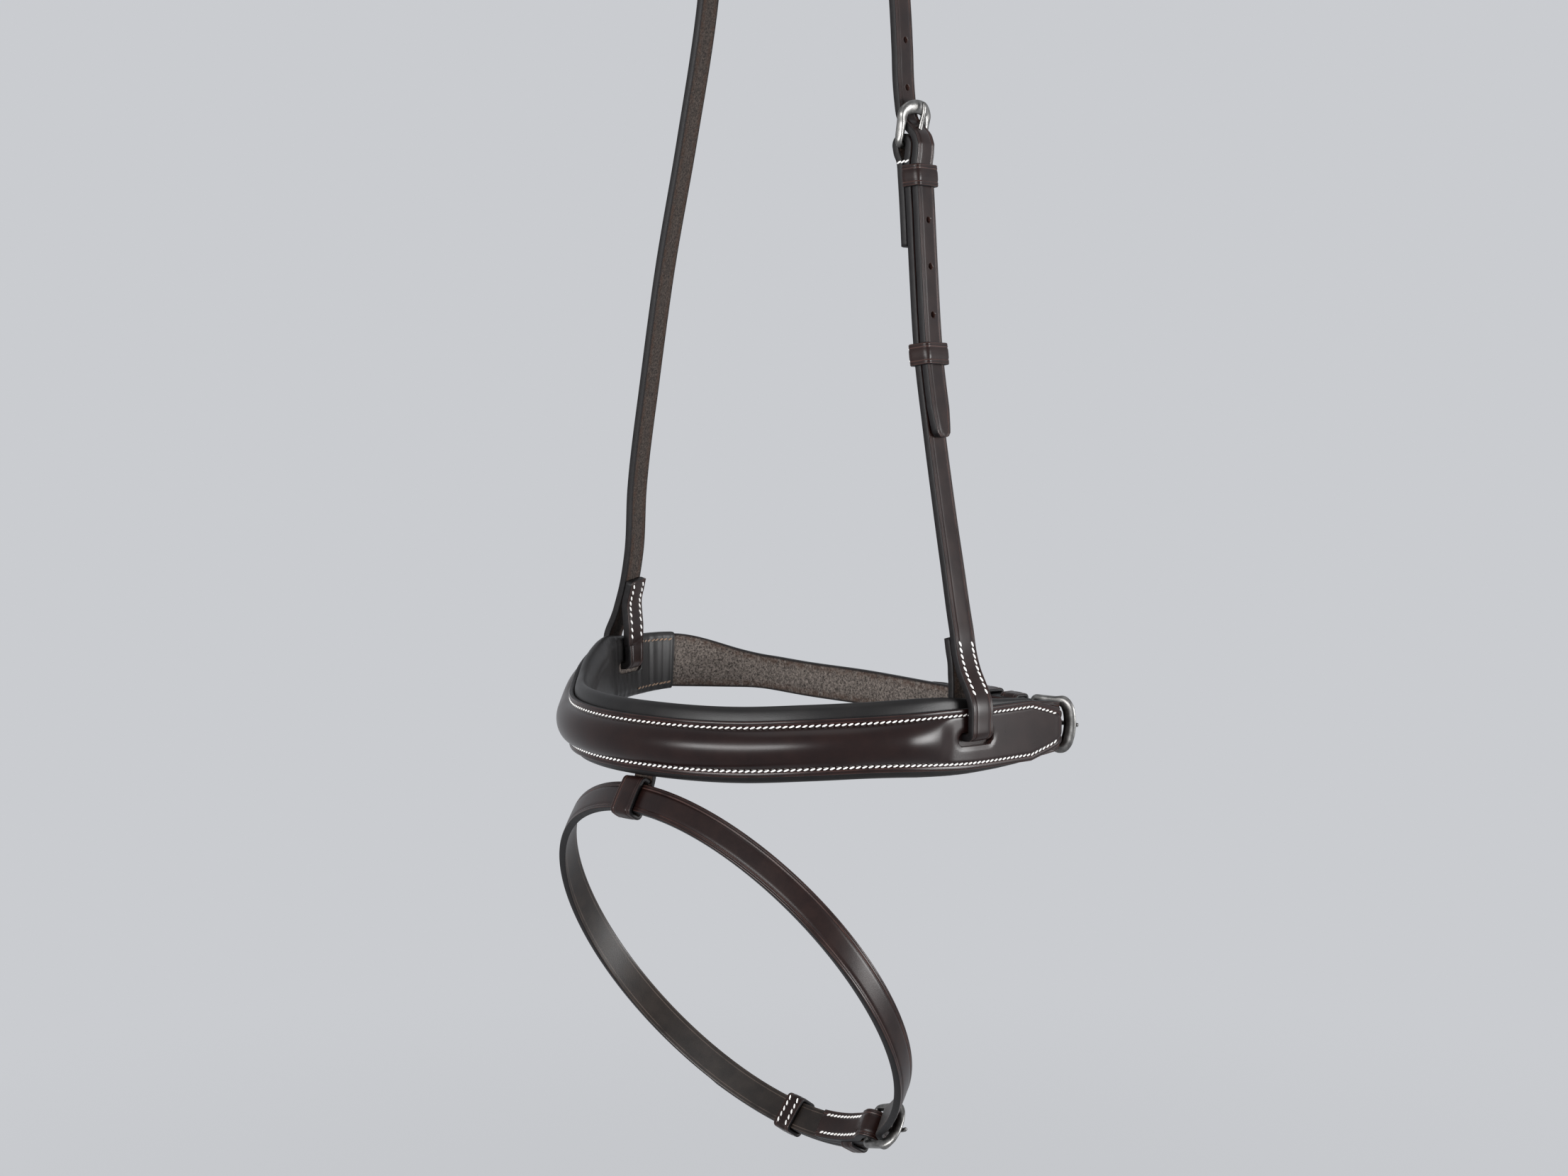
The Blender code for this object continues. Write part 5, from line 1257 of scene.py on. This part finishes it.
def pad_sizes(run):
    """Depth, stand above and below the face, and flatness at a signed run."""
    flat = float(ease(abs(run), *PAD_SHALLOWS))
    shallow = LAYER_GAP * 2 + CHIN_THICK + LINING_THICK
    depth = PAD_DEPTH + LINING_THICK / 2 + (shallow - PAD_DEPTH - LINING_THICK / 2) * flat
    upper = PAD_TOP_NEAR if run > 0.0 else PAD_TOP_FAR
    top, bottom = read_table(upper, abs(run)), read_table(PAD_BOTTOM, abs(run))
    puckers = PUCKER_DEPTH * math.sin(run * PUCKER_TURNS + 2.0 * math.sin(run * PUCKER_DRIFT)) * flat
    return depth + puckers, top, bottom, flat


def pad_edge(run, half, depth, stand, sign, flat):
    """Half of the pad's outline, from behind the face round to the back."""
    root = -LAYER_GAP
    bulge = [(root, half - PAD_TURN_IN), (root, half - PAD_RIM_INSET)]
    bulge += [(root - deep * depth, half + beyond * stand) for deep, beyond in PAD_BULGE_SHARES]
    seam = half - SEAM_INSET * (0.9 - 0.4 * flat)
    back = [(-depth * 0.925, half - 0.05 * seam), (-depth * (0.95 + 0.03 * flat), seam),
            (-depth * 0.995, seam * 0.80), (-depth, seam * 0.5)]
    return [(out, sign * height) for out, height in bulge + back]


def pad_ring(run):
    """Closed ring of (out, height) round the pad at a run from the nose."""
    half = face_half(min(abs(run), NOSE_RADIUS * NEAR_TURN + SLOT_TO_LINING_END))
    depth, top, bottom, flat = pad_sizes(run)
    upper = pad_edge(run, half, depth, top, 1, flat)
    lower = pad_edge(run, half, depth, bottom, -1, flat)
    outline = smooth_curve(upper + [(-depth, 0.0)] + lower[::-1], 4)
    return np.vstack([outline, [(-LAYER_GAP, -half / 2), (-LAYER_GAP, half / 2)]])


def pad_rings():
    end = NOSE_RADIUS * NEAR_TURN + SLOT_TO_LINING_END
    rings, edge = [], []
    for run in band_stations(end, PAD_STEP):
        ring = pad_ring(run)
        away = max(0.0, 1.0 - (end - abs(run)) / PAD_END_ROUND)
        shrink = 1.0 - math.sqrt(max(0.0, 1.0 - away ** 2))
        centre = ring.mean(axis=0)
        ring = centre + (ring - centre) * (1.0 - PAD_END_SHRINK_SHARE * shrink)
        rings.append([nose.place(run, o, h) for o, h in ring])
        edge.append(np.full(len(ring), NO_EDGE))
    return np.array(rings), np.array(edge)


rings, edge = pad_rings()
pad_piece = new_object("nose_pad_lining", laid_grid("nose_pad_lining", rings, [0] * rings.shape[1], edge),
                       (LINING,), "noseband", ("nose_lining", "nose_foam"))
cut(pad_piece, slot_cutter(marks["near_slot"]), slot_cutter(marks["far_slot"]))
print("pad", len(pad_piece.data.polygons), "faces")

# %% [markdown]
# ## Buckles
#
# The frames are cast, so their section changes as it goes round: a thin round
# heel bar for the strap to turn on, boxier sides, and a broad domed front bar.
# The sections are laid along the frame's outline, which a plain wire can't do.

# %% The buckle frames
def frame_route(length, width):
    """Frame outline: straight heel bar, sides, and a front bar that bows."""
    half = width / 2 + BUCKLE_SIDE_PLAY + BUCKLE_WIRE
    heel_corner = BUCKLE_CORNER * 0.6
    rows = arc((heel_corner, half - heel_corner), heel_corner, math.pi, math.pi / 2, 8)
    rows += arc((length - BUCKLE_CORNER, half - BUCKLE_CORNER), BUCKLE_CORNER,
                math.pi / 2, math.pi / 8, 8)
    end = rows[-1][1]
    rows += [(length + FRONT_BOW * (1 - s * s), end * s) for s in (0.85, 0.7, 0.5, 0.3, 0.1)]
    rows = rows + [(x, -y) for x, y in rows[::-1]]
    rows += [(0.0, -half * s) for s in (0.5, 0.0, -0.5)]
    return np.array([(x, y, FRONT_DOME * (1 - (y / half) ** 2) * float(ease(x, 0.0, length)))
                     for x, y in rows])


# each row: share of the frame's length, half width and half height of the metal
WIRE_TABLE = [(0.0, 0.0015, 0.0015), (0.10, 0.0014, 0.0016), (0.25, 0.0013, 0.0018),
              (0.62, 0.0016, 0.0018), (0.84, 0.0024, 0.0017), (1.0, 0.0030, 0.0016)]


def metal_ring(across, height, square):
    """A rounded section: square 2 is an ellipse, more is boxier."""
    angles = np.linspace(0.0, 2 * math.pi, 20, endpoint=False)
    c, s = np.cos(angles), np.sin(angles)
    return np.column_stack([across * np.sign(c) * abs(c) ** (2 / square),
                            height * np.sign(s) * abs(s) ** (2 / square)])


def buckle(name, closure, body, node):
    route = frame_route(closure.frame_length, closure.width)
    loop = np.vstack([route, route[:1]])
    rows, run, places = even_marks(loop, FINE_STEP, FINE_TURN)
    route = at_marks(rows, run, places[:-1])
    ahead = np.roll(route, -1, axis=0) - np.roll(route, 1, axis=0)
    tangents = unit(ahead)
    up = np.array([0.0, 0.0, 1.0])
    sides = unit(np.cross(up, tangents))
    rings = []
    for point, side in zip(route, sides):
        share = point[0] / closure.frame_length
        across, height = read_table(WIRE_TABLE, share, 1), read_table(WIRE_TABLE, share, 2)
        square = 2.0 + 1.6 * float(ease(share, 0.05, 0.3) * (1.0 - ease(share, 0.8, 0.95)))
        section = metal_ring(across, height, square)
        rings.append(closure.at(point + section[:, :1] * side + section[:, 1:] * up))
    rings = np.array(rings)
    mesh = laid_grid(name, rings, [0] * rings.shape[1], np.full(rings.shape[:2], NO_EDGE), True)
    return new_object(name, mesh, (STEEL,), body, (node,))


# %% The tongues
TONGUE_STEP = 0.0008
TONGUE_TIP_ROUND = 0.0008


def tongue(name, closure, body, node):
    """A tapered tongue, curled round the heel bar and resting on the front."""
    wrap = HEEL_WIRE + LAYER_GAP + TONGUE_WIRE
    rest = FRONT_WIRE + LAYER_GAP + TONGUE_WIRE + FRONT_DOME
    reach = closure.frame_length + FRONT_BOW + TONGUE_REACH
    hook = arc((0.0, 0.0), wrap, -math.pi / 4, -1.5 * math.pi, 24)
    shank = [(closure.frame_length * t, wrap + (rest - wrap) * t) for t in (0.35, 0.7, 1.0)]
    shank += [(reach - TONGUE_WIRE, rest - TONGUE_WIRE * 0.3), (reach, rest - TONGUE_WIRE * 0.8)]
    path = np.vstack([hook[:-1], smooth_curve([hook[-1]] + shank, 6)])
    rows, run, places = even_marks(path, TONGUE_STEP, FINE_TURN)
    path = at_marks(rows, run, places)
    tangents = unit(np.gradient(path, places, axis=0))
    rings = []
    for (x, z), (dx, dz), place in zip(path, tangents, places):
        left = (run[-1] - place) / run[-1]
        taper = TONGUE_WIRE * (0.72 + 0.28 * min(1.0, left * 2.0)) * math.sqrt(
            1.0 - max(0.0, 1.0 - (run[-1] - place) / TONGUE_TIP_ROUND) ** 2 * 0.9)
        section = metal_ring(taper, taper * 0.92, 2.4)
        rings.append(closure.at([(x - dz * h, s, z + dx * h) for s, h in section]))
    rings = np.array(rings)
    mesh = laid_grid(name, rings, [0] * rings.shape[1], np.full(rings.shape[:2], NO_EDGE))
    return new_object(name, mesh, (STEEL,), body, (node,))


for prefix, closure in (("cheek", cheek), ("rear", rear), ("flash", thin)):
    buckle(f"{prefix}_buckle_steel", closure, f"{prefix}_frame", f"{prefix}_buckle")
    tongue(f"{prefix}_tongue_steel", closure, f"{prefix}_pin", f"{prefix}_tongue")
print("3 buckles and tongues")

# %% [markdown]
# ## Keepers
#
# Keepers are narrow leather loops round the strap, creased along both edges.
# Beside each buckle one is sewn in with its ends between the two layers. A
# second one goes round all the layers and slides.

# %% Shape a keeper
def corner_arcs(half_wide, half_high, bend, corners, first_turn):
    """Quarter arcs round corners of a rectangle, each a quarter turn further."""
    points = []
    for k, (sx, sy) in enumerate(corners):
        turn = first_turn + k * math.pi / 2
        points += arc((sx * (half_wide - bend), sy * (half_high - bend)), bend,
                      turn, turn + math.pi / 2, 9)
    return points


def keeper(name, line, along, low, high, width, play, body, node):
    """A closed loop round everything between two heights on a line."""
    point, tangent, outward, side = line.frame(along)
    half = width / 2 + play + KEEPER_THICK / 2
    half_up = (high - low) / 2 + play + KEEPER_THICK / 2
    centre = point + outward * (low + high) / 2
    bend = KEEPER_CORNER / 2 + KEEPER_THICK / 2
    outline = corner_arcs(half, half_up, bend, ((1, 1), (-1, 1), (-1, -1), (1, -1)), 0.0)
    outline = np.array(outline + outline[:1])
    rows, run, places = even_marks(outline, FINE_STEP, FINE_TURN)
    path = at_marks(rows, run, places[:-1])
    away = np.roll(path, -1, axis=0) - np.roll(path, 1, axis=0)
    away = unit(np.column_stack([away[:, 1], -away[:, 0]]))
    section = strap_section(KEEPER_LENGTH / 2, KEEPER_THICK, KEEPER_CREASE_DEPTH)
    rings = []
    for (x, y), (dx, dy) in zip(path, away):
        base = centre + x * side + y * outward
        up = dx * side + dy * outward
        rings.append(base + section[:, :1] * tangent + section[:, 1:2] * up)
    rings = np.array(rings)
    edge = np.tile(section[:, 2], (len(rings), 1))
    mesh = laid_grid(name, rings, section_columns(), edge, True)
    return new_object(name, mesh, (GRAIN, EDGE, SEALED), body, (node,))


# %% Put on the six keepers
pitch = STRAP_THICK + LAYER_GAP
chin_low = chin_centre - CHIN_THICK - LAYER_GAP - CHIN_THICK / 2
chin_high = chin_centre + CHIN_THICK + LAYER_GAP + CHIN_THICK / 2
tucked = -pitch / 2 + LAYER_GAP + KEEPER_THICK / 2
chin_tucked = chin_centre - (CHIN_THICK - KEEPER_THICK) / 2
high = pitch + STRAP_THICK / 2
cheek_runner_at = CHEEK_HEEL_REACH - CHEEK_RUNNER_AT
flash_runner_at = flash_heel + FLASH_RUNNER_AT
for prefix, line, width, body, fixed_at, fixed_low, runner_at, runner_low, top in (
        ("cheek", head, STRAP_WIDTH, "head_strap", CHEEK_HEEL_REACH - CHEEK_FIXED_AT, tucked,
         cheek_runner_at, -STRAP_THICK / 2, high),
        ("rear", nose, CHIN_WIDTH, "noseband", rear_heel + REAR_FIXED_AT, chin_tucked,
         rear_heel + REAR_RUNNER_AT, chin_low, chin_high),
        ("flash", flash, STRAP_WIDTH, "flash", flash_heel + FLASH_FIXED_AT, tucked,
         flash_runner_at, -STRAP_THICK / 2, high)):
    keeper(f"{prefix}_fixed_keeper_leather", line, fixed_at, fixed_low, top, width, LAYER_GAP,
           body, f"{prefix}_fixed_keeper")
    keeper(f"{prefix}_runner_leather", line, runner_at, runner_low, top, width, KEEPER_PLAY,
           f"{prefix}_runner", f"{prefix}_runner_keeper")
print("6 keepers")

# %% [markdown]
# ## Thread
#
# All sewing is in white waxed thread, about nine stitches to the inch, but tan
# inside the lining. Each stitch slants a little and dips into the leather at
# both ends, so it is a small slanted grain of thread half sunk in its seam.

# %% One row of stitches
def stitches(name, seats, body, thread=THREAD):
    """One mesh of stitches; a seat is a point, its way and its outward."""
    bm = bmesh.new()
    for point, way, outward in seats:
        way = unit(way - way.dot(outward) * outward)
        across = np.cross(outward, way)
        slant = math.cos(STITCH_SLANT) * way + math.sin(STITCH_SLANT) * across
        matrix = on_axes(point, slant * STITCH_LENGTH / 2, np.cross(outward, slant) * STITCH_WIDTH / 2,
                         outward * STITCH_HEIGHT / 2)
        bmesh.ops.create_uvsphere(bm, u_segments=8, v_segments=5, radius=1.0,
                                  matrix=matrix @ Matrix.Rotation(math.pi / 2, 4, "Y"))
    for face in bm.faces:
        face.smooth = True
    print(name, len(seats))
    return new_object(name, mesh_of(bm, name), (thread,), body)


# %% Sew the face and the lining
LINING_SEAM_FROM = 0.168
LINING_SEAM_TO_END = 0.003
SEAM_POINTS = 900


def face_seats(sign):
    """Stitches along one margin of the face, up to both of its ends."""
    end = NOSE_RADIUS * NEAR_TURN + SLOT_TO_TIP - SEAM_INSET
    runs = np.linspace(-end, end, SEAM_POINTS)
    halves = [face_half(abs(r)) for r in runs]
    seam = np.array([nose.place(r, face_front(abs(r), sign * (half - SEAM_INSET), half),
                                sign * (half - SEAM_INSET)) for r, half in zip(runs, halves)])
    run = lengths(seam)
    places = np.arange(STITCH_PITCH / 2, run[-1], STITCH_PITCH)
    points = at_marks(seam, run, places)
    ways = at_marks(np.gradient(seam, run, axis=0), run, places)
    return [(p, w, nose.frame(np.interp(place, run, runs))[2]) for p, w, place in zip(points, ways, places)]


def lining_seats(low, high):
    """Stitches inside the flat ends of the lining, near its upper and lower edges."""
    seats = []
    for run in np.arange(low, high, STITCH_PITCH):
        depth, top, bottom, _ = pad_sizes(run)
        half = face_half(abs(run))
        _, tangent, outward, _ = nose.frame(run % marks["full"])
        for height in (half + top - LINING_SEAM_INSET, LINING_SEAM_INSET - half - bottom):
            seats.append((nose.place(run, -depth, height), tangent, -outward))
    return seats


stitches("nose_face_stitches", face_seats(1) + face_seats(-1), "noseband")
seam_end = NOSE_RADIUS * NEAR_TURN + SLOT_TO_LINING_END - LINING_SEAM_TO_END
stitches("lining_stitches", lining_seats(-seam_end, -LINING_SEAM_FROM)
         + lining_seats(LINING_SEAM_FROM, seam_end), "noseband", TAN_THREAD)

# %% Sew the head strap's loops
LOOP_SEAM_INSET = 0.0026
SEAM_TO_END = 0.002
FRONT_SEAM_TO_SLOT = 0.0035
RETURN_SEAM_FROM = 0.018
RETURN_CLIMBS_FROM = 0.0145
SLOPE_STEP = 0.001
RETURN_TOP = RETURN_LENGTH - SEAM_TO_END
LOOP_TOP = FACE_SLOT_HALF + LINING_TOP_AT_SLOT + LINING_THICK + FRONT_SEAM_TO_SLOT


def strap_seats(line, low, high, rows, inset, facing):
    """Two rows of stitches on a thin strap whose middle follows (along, out) rows."""
    rows = np.array(rows)[np.argsort(np.array(rows)[:, 0])]
    seats = []
    for along in np.arange(low, high, STITCH_PITCH):
        point, tangent, outward, side = line.frame(along)
        slope = np.interp(along + SLOPE_STEP, *rows.T) - np.interp(along - SLOPE_STEP, *rows.T)
        way = unit(tangent * 2 * SLOPE_STEP + outward * slope)
        up = facing * unit(outward - outward.dot(way) * way)
        for sign in (-1, 1):
            spot = point + np.interp(along, *rows.T) * outward + sign * (STRAP_WIDTH / 2 - inset) * side
            seats.append((spot + up * STRAP_THICK / 2, way, up))
    return seats


def inner_return(end, sense):
    """The part of a loop's rows that climbs behind the strap."""
    rows = loop_rows(end, sense)
    away = abs(rows[:, 0] - end)
    return rows[(away > RETURN_CLIMBS_FROM) & (rows[:, 1] < -pitch / 2)]


def loop_seats(end, sense):
    """The seam of a slot loop, on its front and on the return behind it."""
    seats = []
    for start, rows, facing in ((LOOP_TOP, [(0.0, 0.0), (1.0, 0.0)], 1),
                                (RETURN_SEAM_FROM, inner_return(end, sense), -1)):
        low, high = sorted((end + sense * start, end + sense * RETURN_TOP))
        seats += strap_seats(head, low, high, rows, LOOP_SEAM_INSET, facing)
    return seats


stitches("head_strap_stitches", loop_seats(0.0, 1) + loop_seats(head.length, -1), "head_strap")

# %% Sew the chapes and the sliding keepers
CHAPE_SEAM_INSET = 0.0022
SEAM_TO_HEEL = 0.0085
TIE_TO_HEEL = 0.0072
TIE_PITCH = STITCH_LENGTH * 0.8
KEEPER_SEAM_INSET = 0.0012
KEEPER_ROW_SHARE = 0.26


def chape_seats(line, heel, sense, length):
    """Two rows on the folded-back layer of a chape."""
    low, high = sorted((heel + sense * SEAM_TO_HEEL, heel + sense * (length - SEAM_TO_END)))
    return strap_seats(line, low, high, [(0.0, -pitch), (1.0, -pitch)], CHAPE_SEAM_INSET, -1)


def keeper_seats(line, along):
    """Two rows across the back of a sliding keeper, where its ends overlap."""
    back = -STRAP_THICK / 2 - KEEPER_PLAY - KEEPER_THICK
    seats = []
    for sign in (-1, 1):
        point, _, outward, side = line.frame(along + sign * KEEPER_ROW_SHARE * KEEPER_LENGTH)
        for across in np.arange(KEEPER_SEAM_INSET - STRAP_WIDTH / 2,
                                STRAP_WIDTH / 2 - KEEPER_SEAM_INSET / 2, STITCH_PITCH):
            seats.append((point + outward * back + side * across, side, -outward))
    return seats


def tie_seats(line, along):
    """Thread that shows at both edges where the chape is tied down."""
    point, _, outward, side = line.frame(along)
    return [(point + outward * out + sign * side * STRAP_WIDTH / 2, outward, sign * side)
            for sign in (-1, 1) for out in np.arange(-pitch, STRAP_THICK / 2, TIE_PITCH)]


stitches("flash_chape_stitches", chape_seats(flash, flash_heel, 1, FLASH_CHAPE), "flash")
stitches("cheek_chape_stitches", chape_seats(head, CHEEK_HEEL_REACH, -1, CHEEK_CHAPE), "head_strap")
stitches("flash_runner_stitches", keeper_seats(flash, flash_runner_at), "flash_runner")
stitches("cheek_runner_stitches", keeper_seats(head, cheek_runner_at), "cheek_runner")
stitches("cheek_tie", tie_seats(head, CHEEK_HEEL_REACH - TIE_TO_HEEL), "head_strap")

# %% [markdown]
# ## The flash loop
#
# A short strap hangs from the middle of the band and holds the flash strap. Its
# tab is sewn in behind the lining, and its end closes over itself. It takes the
# same section as the other straps, laid on a route in the band's middle plane.

# %% Shape the flash loop
FLASH_LOOP_STEP, FLASH_LOOP_TURN = 0.0010, math.radians(10)


def flash_loop_rows():
    """The loop's route in the band's middle plane: its tab, then round the strap."""
    clear = (LINING_THICK + FLASH_LOOP_THICK) / 2 + LAYER_GAP
    depth = PAD_DEPTH + clear
    half = face_half(0.0)
    tab = [(-depth, -0.2 * half), (-depth, -0.45 * half), (-depth * 0.99, -0.86 * half)]
    point, _, outward, _ = nose.frame(0.0)
    place, _, flash_out, flash_side = flash.frame(0.0)
    flat = np.array([outward, (0.0, 0.0, 1.0)])
    centre, across, upward = flat @ (place - point), flat @ flash_out, flat @ flash_side
    half_up = STRAP_WIDTH / 2 + LOOP_PLAY + FLASH_LOOP_THICK / 2
    half_out = STRAP_THICK / 2 + LOOP_PLAY + FLASH_LOOP_THICK / 2
    bend = FLASH_LOOP_THICK
    ring = [(-half_out, half_up - bend)]
    ring += corner_arcs(half_out, half_up, bend, ((-1, -1), (1, -1), (1, 1)), math.pi)
    ring.append((-half_out * FLASH_LOOP_END_SHARE, half_up))
    return np.array(tab + [tuple(centre + x * across + y * upward) for x, y in ring])


def lay_flash_loop():
    rows, run, places = even_marks(smooth_curve(flash_loop_rows(), 3), FLASH_LOOP_STEP, FLASH_LOOP_TURN)
    path = at_marks(rows, run, places)
    point, side, outward, _ = nose.frame(0.0)
    up = np.array([0.0, 0.0, 1.0])
    middles = point + path[:, :1] * outward + path[:, 1:] * up
    tangents = unit(np.gradient(middles, places, axis=0))
    section = strap_section(FLASH_LOOP_WIDTH / 2, FLASH_LOOP_THICK, KEEPER_CREASE_DEPTH)
    rings = []
    for middle, tangent in zip(middles, tangents):
        away = np.cross(side, tangent)
        rings.append(middle + section[:, :1] * side + section[:, 1:2] * away)
    rings = np.array(rings) + FLASH_LOOP_ASIDE * side
    rings, edge = rounded_ends(rings, np.tile(section[:, 2], (len(rings), 1)))
    mesh = laid_grid("flash_loop_leather", rings, section_columns(), edge)
    return new_object("flash_loop_leather", mesh, (GRAIN, EDGE, FLESH), "noseband",
                      ("flash_loop",))


loop_piece = lay_flash_loop()
print("flash loop", len(loop_piece.data.polygons), "faces")

# %% [markdown]
# ## Studio
#
# The photograph is a cut-out on pale grey, lit by large soft boxes: the roll,
# the flat near side and the strap above it shine, and what faces the camera
# stays dark. Four lamps do that here: left, right, low in front and above. A
# mirror-like or glossy piece sees the same plain paper as the camera, and the
# floor keeps the object's shadow near it and fades to plain paper far off.

# %% Backdrop
PAPER = (0.591, 0.604, 0.631, 1.0)
FILL_LIGHT = 0.16


def seen_directly(nodes):
    """1 for rays from the camera, off a glossy surface or through glass."""
    camera, glossy, glass = (nodes.node("ShaderNodeLightPath", output=name) for name in (
        "Is Camera Ray", "Is Glossy Ray", "Is Transmission Ray"))
    return camera.maths("MAXIMUM", camera.maths("MAXIMUM", camera, glossy), glass)


def paper_world():
    world = bpy.data.worlds.new("studio")
    bpy.context.scene.world = world
    world.use_nodes = True
    world.node_tree.nodes.clear()
    nodes = Nodes(world.node_tree)
    fill = nodes.node("ShaderNodeBackground", [(1.0, 1.0, 1.0, 1.0), FILL_LIGHT])
    paper = nodes.node("ShaderNodeBackground", [PAPER, 1.0])
    both = nodes.node("ShaderNodeMixShader", [seen_directly(nodes), fill, paper])
    nodes.node("ShaderNodeOutputWorld", [both])


# %% Floor
FLOOR_LEVEL = -0.74
FLOOR_RADIUS = 40.0
SHADOW_START, SHADOW_END = 0.25, 1.1
SHADOW_SHARE = 0.45


def paper_floor():
    """A wide sheet that keeps the shadow near the object and is plain paper far off."""
    look = Look("paper_floor")
    away = look.node("ShaderNodeVectorMath", [look.place()], {"operation": "LENGTH"}, 1)
    near = away.between(SHADOW_END, SHADOW_START) * SHADOW_SHARE
    plain, lit = look.node("ShaderNodeEmission", [PAPER]), look.node("ShaderNodeBsdfDiffuse", [PAPER])
    faded = look.node("ShaderNodeMixShader", [near, plain, lit])
    final = look.node("ShaderNodeMixShader", [seen_directly(look), lit, faded])
    look.tree.links.new(final.socket, look.tree.nodes["Material Output"].inputs[0])
    bm = bmesh.new()
    bmesh.ops.create_circle(bm, cap_ends=True, segments=96, radius=FLOOR_RADIUS,
                            matrix=Matrix.Translation((0.0, 0.0, FLOOR_LEVEL)))
    mesh = mesh_of(bm, "floor")
    mesh.materials.append(look.material)
    in_scene("floor", mesh)


# %% Lamps
def soft_box(name, azimuth, elevation, distance, size, watts, aim=(0.0, 0.0, -0.42)):
    light = bpy.data.lights.new(name, "AREA")
    light.shape, light.size, light.size_y, light.energy = "RECTANGLE", size[0], size[1], watts
    obj = in_scene(name, light)
    a, e = math.radians(azimuth), math.radians(elevation)
    away = Vector((math.sin(a) * math.cos(e), -math.cos(a) * math.cos(e), math.sin(e)))
    obj.location = Vector(aim) + away * distance
    obj.rotation_mode = "QUATERNION"
    obj.rotation_quaternion = away.to_track_quat("Z", "Y")


paper_world()
paper_floor()
soft_box("left_box", 14.0, 8.0, 1.7, (1.6, 0.34), 35.0)
soft_box("right_box", 119.0, 3.0, 1.7, (0.8, 0.5), 29.0)
soft_box("low_box", 20.0, -32.0, 1.5, (1.2, 0.3), 8.0)
soft_box("top_box", 45.0, 80.0, 1.9, (1.3, 1.3), 5.0)
print("floor at", FLOOR_LEVEL, "m, 4 lamps")

# %% Camera
CAMERA_PLACE = (1.0080, -1.0196, -0.2720)
CAMERA_TILT, CAMERA_TURN = math.radians(85.0), math.radians(45.0)
CAMERA_LENS_MM, SENSOR_WIDTH_MM = 74.86, 36.0

camera = in_scene("camera", bpy.data.cameras.new("camera"))
camera.location = CAMERA_PLACE
camera.rotation_euler = (CAMERA_TILT, 0.0, CAMERA_TURN)
camera.data.lens, camera.data.sensor_width = CAMERA_LENS_MM, SENSOR_WIDTH_MM
camera.data.clip_start, camera.data.clip_end = 0.05, 60.0
bpy.context.scene.camera = camera
bpy.context.scene.view_settings.view_transform = "Standard"
print("camera", CAMERA_PLACE, "lens", CAMERA_LENS_MM, "mm")
